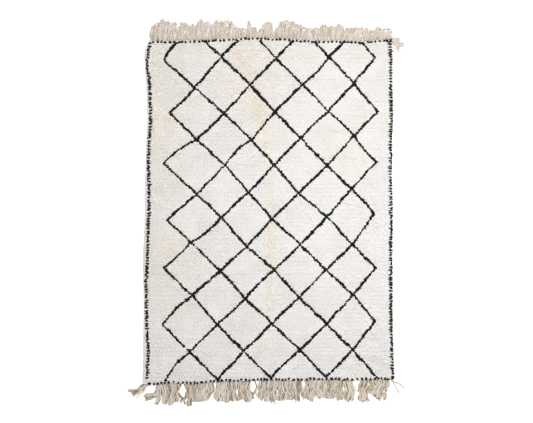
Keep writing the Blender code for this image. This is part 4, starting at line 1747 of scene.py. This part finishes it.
@dataclass(frozen=True, kw_only=True)
class WoolPile(Wool):
    """Handspun sheep's wool, undyed or dark, as cut pile.

    To the eye it is quite matt and soft. No two locks have the same tone, batches of yarn differ a
    little, and fibres run along each lock.

    Attributes:
        colour: of the tips.
        painted_root_shading: of the roots, painted shading. The ivory's is a painted light, a little
        lighter than its tips, which makes up for light that real locks pass on between them; the dark
        wool's is a painted shade, darker than its tips.
        warm: of the wool in a parting.
        rooted: up to what share of a lock's length the painted root shading reaches.
        variety: how much darker than the usual the darkest locks are, as a share.
        lighter: how much lighter the lightest are, as a share of that.
        fibre_pitch: from fibre bundle to fibre bundle. Real fibres are 0.03 mm apart, far too fine to
            show, so bundles of them are drawn.
        fibre_run: how much slower these change along a lock than across it.
        fibre_depth: of the grooves between them.
        haze: how much the haze of loose fibres over the pile evens its shading out.
        batch_scale: how many batches of yarn there are in a metre.
        batch_light: how light the darkest and the lightest batch are, for the usual one.
    """

    colour: str
    painted_root_shading: str
    warm: str
    rooted: float = 0.7
    variety: float = 0.04
    lighter: float = 0.4
    fibre_pitch: float = 0.0011
    fibre_run: float = 0.12
    fibre_depth: float = 0.0004
    haze: float = 1.2
    batch_scale: float = 3.5
    batch_light: Pair = (0.975, 1.02)
    roughness: float = 0.92
    sheen: float = 0.2
    sheen_roughness: float = 0.45

    def surface(self, tree: NodeTree) -> tuple[NodeSocket, NodeSocket]:
        """Mix tip wool, painted root shading and warm wool, vary it per lock, and lay fibres along each
        lock.

        The normal is taken as the surface's own plus haze times straight up, so locks that lean apart
        are lit more alike.

        Args:
            tree: the material's tree.

        Returns:
            The sockets with the colour and with the bumped normal.
        """
        tone, warmth, share = (
            add_node(tree, "Attribute", output="Fac", attribute_name=label)
            for label in ("tone", "warmth", "height_share")
        )
        place = add_node(tree, "TexCoord", output="Object")
        strand = add_node(tree, "UVMap", uv_map=STRAND_MAP)
        texture = {"Vector": place, "Scale": self.batch_scale, "Detail": 3.0, "Roughness": 0.6}
        batches = add_node(tree, "TexNoise", texture, "Fac")
        # Painted shading at the roots: a painted light on the ivory, and a painted shade on the dark wool
        rooted = add_node(tree, "MapRange", (share, 0.0, self.rooted, 1.0, 0.0))
        wool = linear(self.colour)
        for amount, colour in ((rooted, self.painted_root_shading), (warmth, self.warm)):
            mix = {MIX_AMOUNT: amount, MIX_FIRST: wool, MIX_SECOND: linear(colour)}
            wool = add_node(tree, "Mix", mix, MIX_RESULT, data_type="RGBA")
        least, most = 1 - self.variety, 1 + self.variety * self.lighter
        lightness = add_node(tree, "MapRange", (tone, 0.0, 1.0, least, most))
        drift = add_node(tree, "MapRange", (batches, *NOISE_RANGE, *self.batch_light))
        light = add_node(tree, "Math", (lightness, drift), operation="MULTIPLY")
        grey = add_node(tree, "CombineColor", (light, light, light))
        mix = {MIX_AMOUNT: 1.0, MIX_FIRST: wool, MIX_SECOND: grey}
        wool = add_node(tree, "Mix", mix, MIX_RESULT, data_type="RGBA", blend_type="MULTIPLY")
        stretch = (1 / self.fibre_pitch, self.fibre_run / self.fibre_pitch, 1.0)
        along = add_node(tree, "Mapping", {"Vector": strand, "Scale": stretch})
        texture = {"Vector": along, "Scale": 1.0, "Detail": 2.0, "Roughness": 0.6}
        fibres = add_node(tree, "TexNoise", texture, "Fac")
        facing = add_node(tree, "NewGeometry", output="Normal")
        spaces = {"vector_type": "VECTOR", "convert_from": "OBJECT", "convert_to": "WORLD"}
        out_of_pile = add_node(tree, "VectorTransform", ((0.0, 0.0, self.haze),), **spaces)
        leaning = add_node(tree, "VectorMath", (facing, out_of_pile), operation="ADD")
        even = add_node(tree, "VectorMath", (leaning,), operation="NORMALIZE")
        relief = {"Height": fibres, "Strength": 0.5, "Distance": self.fibre_depth, "Normal": even}
        return wool, add_node(tree, "Bump", relief)


@dataclass(frozen=True, kw_only=True)
class WovenWool(Wool):
    """The ground: handspun ivory wool in plain weave, whose back shows the dark knots as narrow lines.

    To the eye it is an even, matt grid of small crowns with a little shade between them.

    Attributes:
        colour: of the yarn.
        groove: of the shade between yarns.
        dark: of the lattice's knots.
        yarn_pitch: from yarn to yarn. The real one is about 3 mm, drawn coarser so that it shows.
        yarn_depth: of the grooves between them.
        line_softness: how gradually a line begins on the back.
    """

    name: str = "woven_ivory_wool"
    colour: str = "E0DDD8"
    groove: str = "CFCAC0"
    dark: str = "1C1919"
    yarn_pitch: float = 0.006
    yarn_depth: float = 0.0015
    line_softness: float = 0.001

    # Blender's wave node repeats 20 times in a turn's length at scale 1
    WAVES: ClassVar[int] = 20

    def surface(self, tree: NodeTree) -> tuple[NodeSocket, NodeSocket]:
        """Multiply a sine along each axis, for the yarns' crowns, and darken the lattice's lines.

        Args:
            tree: the material's tree.

        Returns:
            The sockets with the colour and with the bumped normal.
        """
        place = add_node(tree, "TexCoord", output="Object")
        scale = FULL_TURN / (self.WAVES * self.yarn_pitch)
        texture = {"Vector": place, "Scale": scale, "Distortion": 0.6, "Detail": 1.0}
        warp, weft = (add_node(tree, "TexWave", texture, "Fac", bands_direction=axis) for axis in "XY")
        crown = add_node(tree, "Math", (warp, weft), operation="MULTIPLY")
        past = add_node(tree, "Attribute", output="Fac", attribute_name="past_line")
        on_line = add_node(tree, "MapRange", (past, -self.line_softness, self.line_softness, 1.0, 0.0))
        wool = linear(self.groove)
        for amount, colour in ((crown, self.colour), (on_line, self.dark)):
            mix = {MIX_AMOUNT: amount, MIX_FIRST: wool, MIX_SECOND: linear(colour)}
            wool = add_node(tree, "Mix", mix, MIX_RESULT, data_type="RGBA")
        return wool, add_node(tree, "Bump", {"Height": crown, "Strength": 0.6, "Distance": self.yarn_depth})


@dataclass(frozen=True, kw_only=True)
class PliedWarp(Wool):
    """Two-ply warp yarn of beige wool, spun harder than the pile.

    To the eye its plies are slanted bands with shade between them, and it goes from pale to tan and
    here and there to grey.

    Attributes:
        pale: the lighter cords.
        tan: the darker cords, and the painted shade on the lower layers of each bunch.
        ashen: the patches on the greyish cords.
        groove: the shade between the plies.
        groove_share: how strong that shade is.
        ply_pitch: the length of one twist of the two plies. The real one is 8 mm, drawn coarser.
        ply_depth: of the groove between them.
        ply_crown: how high up the sine a ply's round top begins.
        blotch_scale: how many lighter and darker blotches there are in a metre.
        blotch_tone: how much they change a cord's tone, either way.
        patch_edge: where in the blotches' range a greyish patch begins and is full.
    """

    name: str = "plied_beige_warp"
    pale: str = "C8C0B5"
    tan: str = "867153"
    ashen: str = "B9B9B9"
    groove: str = "7C6A52"
    groove_share: float = 0.4
    ply_pitch: float = 0.01
    ply_depth: float = 0.0012
    ply_crown: float = 0.2
    blotch_scale: float = 28.0
    blotch_tone: float = 0.25
    patch_edge: Pair = (0.4, 0.6)
    roughness: float = 0.85

    # Two plies show twice in a turn round the cord
    PLIES: ClassVar[int] = 2

    def surface(self, tree: NodeTree) -> tuple[NodeSocket, NodeSocket]:
        """Raise each ply by a sine of twice the turn plus the length over its pitch, and colour it.

        Args:
            tree: the material's tree.

        Returns:
            The sockets with the colour and with the bumped normal.
        """
        tone, ash = (
            add_node(tree, "Attribute", output="Fac", attribute_name=label) for label in ("tone", "ash")
        )
        place = add_node(tree, "TexCoord", output="Object")
        strand = add_node(tree, "UVMap", uv_map=STRAND_MAP)
        turn, length = (add_node(tree, "SeparateXYZ", (strand,), axis) for axis in "XY")
        turned = add_node(tree, "Math", (turn, self.PLIES * FULL_TURN), operation="MULTIPLY")
        passed = add_node(tree, "Math", (length, FULL_TURN / self.ply_pitch), operation="MULTIPLY")
        phase = add_node(tree, "Math", (turned, passed), operation="ADD")
        wave = add_node(tree, "Math", (phase,), operation="SINE")
        ply = add_node(tree, "MapRange", (wave, -1.0, self.ply_crown, 0.0, 1.0))
        texture = {"Vector": place, "Scale": self.blotch_scale, "Detail": 2.0}
        blotches = add_node(tree, "TexNoise", texture, "Fac")
        uneven = add_node(tree, "MapRange", (blotches, *NOISE_RANGE, -self.blotch_tone, self.blotch_tone))
        tanned = add_node(tree, "Math", (tone, uneven), operation="ADD", use_clamp=True)
        patches = add_node(tree, "MapRange", (blotches, *self.patch_edge, 0.0, 1.0))
        greyed = add_node(tree, "Math", (ash, patches), operation="MULTIPLY")
        shadow = add_node(tree, "MapRange", (ply, 0.0, 1.0, self.groove_share, 0.0))
        yarn = linear(self.pale)
        for amount, colour in ((tanned, self.tan), (greyed, self.ashen), (shadow, self.groove)):
            mix = {MIX_AMOUNT: amount, MIX_FIRST: yarn, MIX_SECOND: linear(colour)}
            yarn = add_node(tree, "Mix", mix, MIX_RESULT, data_type="RGBA")
        return yarn, add_node(tree, "Bump", {"Height": ply, "Strength": 0.7, "Distance": self.ply_depth})


@dataclass
class Studio:
    """A pale floor, a broad soft light from the upper right, pale light all round, and the camera.

    Attributes:
        camera_place: straight above the rug's middle.
        lens: the camera's, in millimetres.
        sensor: its width, in millimetres.
        floor_half: half the floor's side.
        floor_drop: how far the floor is below the rug's underside.
        floor_colour: of the matt white studio floor.
        floor_glow: how much light the floor gives itself, as a lit table does, so that no grey shows.
        sky_strength: of the pale light all round.
        light_place: of the soft light, which points at the rug's middle.
        light_size: its breadth.
        light_power: in watts.
    """

    camera_place: tuple[float, float, float] = (-0.001, 0.001, 9.57)
    lens: float = 100.0
    sensor: float = 36.0
    floor_half: float = 30.0
    floor_drop: float = 0.0004
    floor_colour: str = "F7F6F4"
    floor_glow: float = 0.25
    sky_strength: float = 1.0
    light_place: tuple[float, float, float] = (0.95, 0.35, 3.3)
    light_size: float = 2.6
    light_power: float = 108.0

    def floor(self) -> Object:
        """Lay the floor.

        Returns:
            The floor.
        """
        material, tree, shader = new_finish("studio_floor")
        inputs = {
            "Base Color": linear(self.floor_colour),
            "Roughness": 0.8,
            "Emission Color": linear(WHITE),
            "Emission Strength": self.floor_glow,
        }
        feed(tree, shader, inputs)
        half, level = self.floor_half, -self.floor_drop
        corners = np.array([(x * half, y * half, level) for x, y in ((-1, -1), (1, -1), (1, 1), (-1, 1))])
        return make_piece("studio_floor", corners, [np.array([(0, 1, 2, 3)])], material)

    def light(self) -> None:
        """Hang the soft light and brighten the air."""
        lamp = bpy.data.lights.new("soft_box", "AREA")
        lamp.shape = "DISK"
        lamp.size = self.light_size
        lamp.energy = self.light_power
        holder = show("soft_box", lamp)
        holder.location = self.light_place
        holder.rotation_euler = (-Vector(self.light_place)).to_track_quat("-Z", "Y").to_euler()
        world = bpy.data.worlds.new("pale_air")
        world.use_nodes = True
        inputs = {"Color": linear(WHITE), "Strength": self.sky_strength}
        feed(world.node_tree, world.node_tree.nodes["Background"], inputs)
        bpy.context.scene.world = world
        bpy.context.scene.view_settings.view_transform = "Standard"

    def camera(self) -> None:
        """Set the camera up, looking straight down."""
        body = bpy.data.cameras.new("overhead")
        body.lens = self.lens
        body.sensor_width = self.sensor
        holder = show("overhead", body)
        holder.location = self.camera_place
        bpy.context.scene.camera = holder

    def build(self) -> None:
        """Make the whole studio."""
        self.floor()
        self.light()
        self.camera()


def main() -> None:
    """Build the rug and the studio round it, and report each piece."""
    logging.basicConfig(level=logging.INFO, format="%(message)s")
    Studio().build()
    outline = Outline(node="pile_field", level=0.007)
    lattice = Lattice()
    # Each pile wool's root colour is painted shading: lighter than the tips on the ivory, darker on the dark
    # wool
    ivory = WoolPile(name="ivory_pile_wool", colour="D1CFCD", painted_root_shading="E1DEDB", warm="CCBDA5")
    dark = WoolPile(
        name="dark_pile_wool", colour="0F0E12", painted_root_shading="070608", warm="161315", variety=0.35, sheen=0.03,
        haze=0.5,
    )
    ground = GroundWeave(outline, lattice).build(WovenWool().build())
    finishes = {Yarn.IVORY: ivory.build(), Yarn.DARK: dark.build()}
    pile = KnottedPile(outline, lattice, Border()).build(finishes)
    warp = PliedWarp().build()
    combed = PliedWarp(
        name="combed_beige_warp", pale="CEC6BC", tan="AF9F88", ashen="CCD2D9", groove="98876F",
        groove_share=0.28,
    )
    fuzzy = WarpFringe(
        outline, End.UPPER, UPPER_LOCKS,
        cord_pitch=0.0104, radius=0.003, tip_frays=3, side_frays=1, fray_length=(0.007, 0.018), stations=13,
        bunch_wave=0.004, pinch=0.12, hook=0.015, crown=0.15, uneven_length=0.09, fullness=1.3,
    )
    upper = fuzzy.build("warp_fringe_upper", combed.build())
    lower = WarpFringe(outline, End.LOWER, LOWER_LOCKS).build("warp_fringe_lower", warp)

    slots = {ground: "ivory_pile_wool", upper: "beige_warp_wool", lower: "beige_warp_wool"}
    slots.update({piece: "ivory_pile_wool" for piece in pile[:-1]})
    slots[pile[-1]] = "dark_pile_wool"
    for piece, slot in slots.items():
        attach(piece, BODY)
        triangles = sum(len(face.vertices) - 2 for face in piece.data.polygons)
        LOG.info("%s: %d triangles", piece.name, triangles)
    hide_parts("pile_field")
    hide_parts("fringe_upper")
    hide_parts("fringe_lower")


if __name__ == "__main__":
    main()
